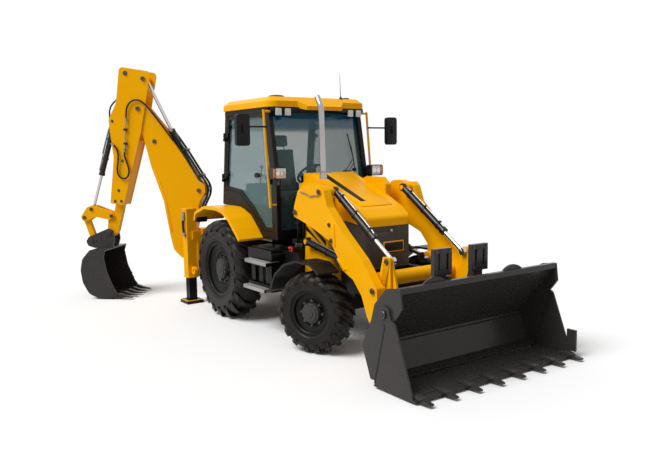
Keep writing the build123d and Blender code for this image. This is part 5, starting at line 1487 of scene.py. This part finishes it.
class LOADER_OT_stage(bpy.types.Operator):
    """Pale floor, even studio light and the camera"""

    bl_idname = "loader.stage"
    bl_label = "Stage"

    CAMERA_PLACE = (8.701, -5.295, 2.333)
    CAMERA_AIM = (144.51, -6.23, -0.75)
    KEY_AIM = (0.05, 0.62, -0.78)
    KEY_SPREAD = 35.0
    FLOOR_HALF = 60.0
    PAPER_SEEN, PAPER_BOUNCE = (0.96, 0.96, 0.96), (0.42, 0.42, 0.42)

    def execute(self, context):
        scene = context.scene
        scene.view_settings.view_transform = "Standard"
        bm = bmesh.new()
        bmesh.ops.create_grid(bm, x_segments=2, y_segments=2, size=self.FLOOR_HALF)
        mesh = bpy.data.meshes.new("studio_floor")
        bm.to_mesh(mesh)
        bm.free()
        floor = bpy.data.objects.new("studio_floor", mesh)
        scene.collection.objects.link(floor)
        mesh.materials.append(self.floor_finish())
        self.sky(scene)
        self.lights(scene)
        self.camera(scene)
        return {"FINISHED"}

    def direct_view(self, tree):
        """1 for what the camera sees itself, in a mirror or through glass, and 0 for scattered light."""
        path = tree.nodes.new("ShaderNodeLightPath")
        views = [path.outputs[name] for name in ("Is Camera Ray", "Is Glossy Ray", "Is Transmission Ray")]
        seen = views[0]
        for view in views[1:]:
            either = tree.nodes.new("ShaderNodeMath")
            either.operation = "MAXIMUM"
            tree.links.new(seen, either.inputs[0])
            tree.links.new(view, either.inputs[1])
            seen = either.outputs[0]
        return seen

    def floor_finish(self):
        """White paper to the eye, darker to scattered light, so that undersides stay deep."""
        paper = Shader("floor_paper")
        tint = paper.mix(self.direct_view(paper.tree), self.PAPER_BOUNCE, self.PAPER_SEEN)
        paper.feed({"Base Color": tint, "Roughness": 0.9, "Specular IOR Level": 0.1})
        return paper.material

    def sky(self, scene):
        """White to the eye, softer as a light."""
        world = bpy.data.worlds.new("studio_sky")
        scene.world = world
        world.use_nodes = True
        tree = world.node_tree
        tree.nodes.clear()
        out = tree.nodes.new("ShaderNodeOutputWorld")
        shades = []
        for strength in (sizes().sky_power, 1.0):
            shades.append(tree.nodes.new("ShaderNodeBackground"))
            shades[-1].inputs["Color"].default_value = (1.0, 1.0, 1.0, 1.0)
            shades[-1].inputs["Strength"].default_value = strength
        mix = tree.nodes.new("ShaderNodeMixShader")
        tree.links.new(self.direct_view(tree), mix.inputs["Fac"])
        tree.links.new(shades[0].outputs[0], mix.inputs[1])
        tree.links.new(shades[1].outputs[0], mix.inputs[2])
        tree.links.new(mix.outputs[0], out.inputs["Surface"])

    def lights(self, scene):
        """One broad key light."""
        data = bpy.data.lights.new("key_light", "SUN")
        data.energy = sizes().key_power
        data.angle = math.radians(self.KEY_SPREAD)
        sun = bpy.data.objects.new("key_light", data)
        scene.collection.objects.link(sun)
        sun.rotation_euler = Vector(self.KEY_AIM).to_track_quat("-Z", "Y").to_euler()

    def camera(self, scene):
        """The photo's camera, turned by yaw, pitch and roll."""
        data = bpy.data.cameras.new("photo_camera")
        data.sensor_width = 36.0
        data.lens = sizes().lens
        camera = bpy.data.objects.new("photo_camera", data)
        scene.collection.objects.link(camera)
        yaw, pitch, roll = (math.radians(a) for a in self.CAMERA_AIM)
        ahead = Vector((math.cos(yaw) * math.cos(pitch), math.sin(yaw) * math.cos(pitch), math.sin(pitch)))
        side = ahead.cross(Vector((0.0, 0.0, 1.0))).normalized()
        up = side.cross(ahead)
        side, up = side * math.cos(roll) + up * math.sin(roll), up * math.cos(roll) - side * math.sin(roll)
        turn = Matrix((side, up, -ahead)).transposed().to_4x4()
        camera.matrix_world = MACHINE @ Matrix.Translation(self.CAMERA_PLACE) @ turn
        scene.camera = camera


class LOADER_PT_panel(bpy.types.Panel):
    """Lists the dressing steps"""

    bl_idname = "LOADER_PT_panel"
    bl_label = "Backhoe Loader"
    bl_space_type = "VIEW_3D"
    bl_region_type = "UI"
    bl_category = "Loader"

    def draw(self, context):
        for group in (context.scene.loader_sizes, context.scene.loader_colours):
            for name in group.__annotations__:
                self.layout.prop(group, name)
        for step in STEPS:
            self.layout.operator(step.bl_idname)


STEPS = (
    LOADER_OT_finishes,
    LOADER_OT_tyres,
    LOADER_OT_hubs,
    LOADER_OT_cab_trim,
    LOADER_OT_seat,
    LOADER_OT_lamps,
    LOADER_OT_bonnet_trim,
    LOADER_OT_steps,
    LOADER_OT_tower_trim,
    LOADER_OT_arm_trim,
    LOADER_OT_bucket_trim,
    LOADER_OT_boom_trim,
    LOADER_OT_dig_bucket_trim,
    LOADER_OT_leg_trim,
    LOADER_OT_stage,
)
CLASSES = (LoaderSizes, LoaderColours, *STEPS, LOADER_PT_panel)


def register():
    """Adds the classes and the scene's settings."""
    for cls in CLASSES:
        bpy.utils.register_class(cls)
    bpy.types.Scene.loader_sizes = bpy.props.PointerProperty(type=LoaderSizes)
    bpy.types.Scene.loader_colours = bpy.props.PointerProperty(type=LoaderColours)


def unregister():
    """Takes the classes and the settings away."""
    del bpy.types.Scene.loader_colours
    del bpy.types.Scene.loader_sizes
    for cls in reversed(CLASSES):
        bpy.utils.unregister_class(cls)


def main():
    """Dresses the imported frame."""
    register()
    for step in STEPS:
        group, name = step.bl_idname.split(".")
        getattr(getattr(bpy.ops, group), name)()


if __name__ == "__main__":
    main()
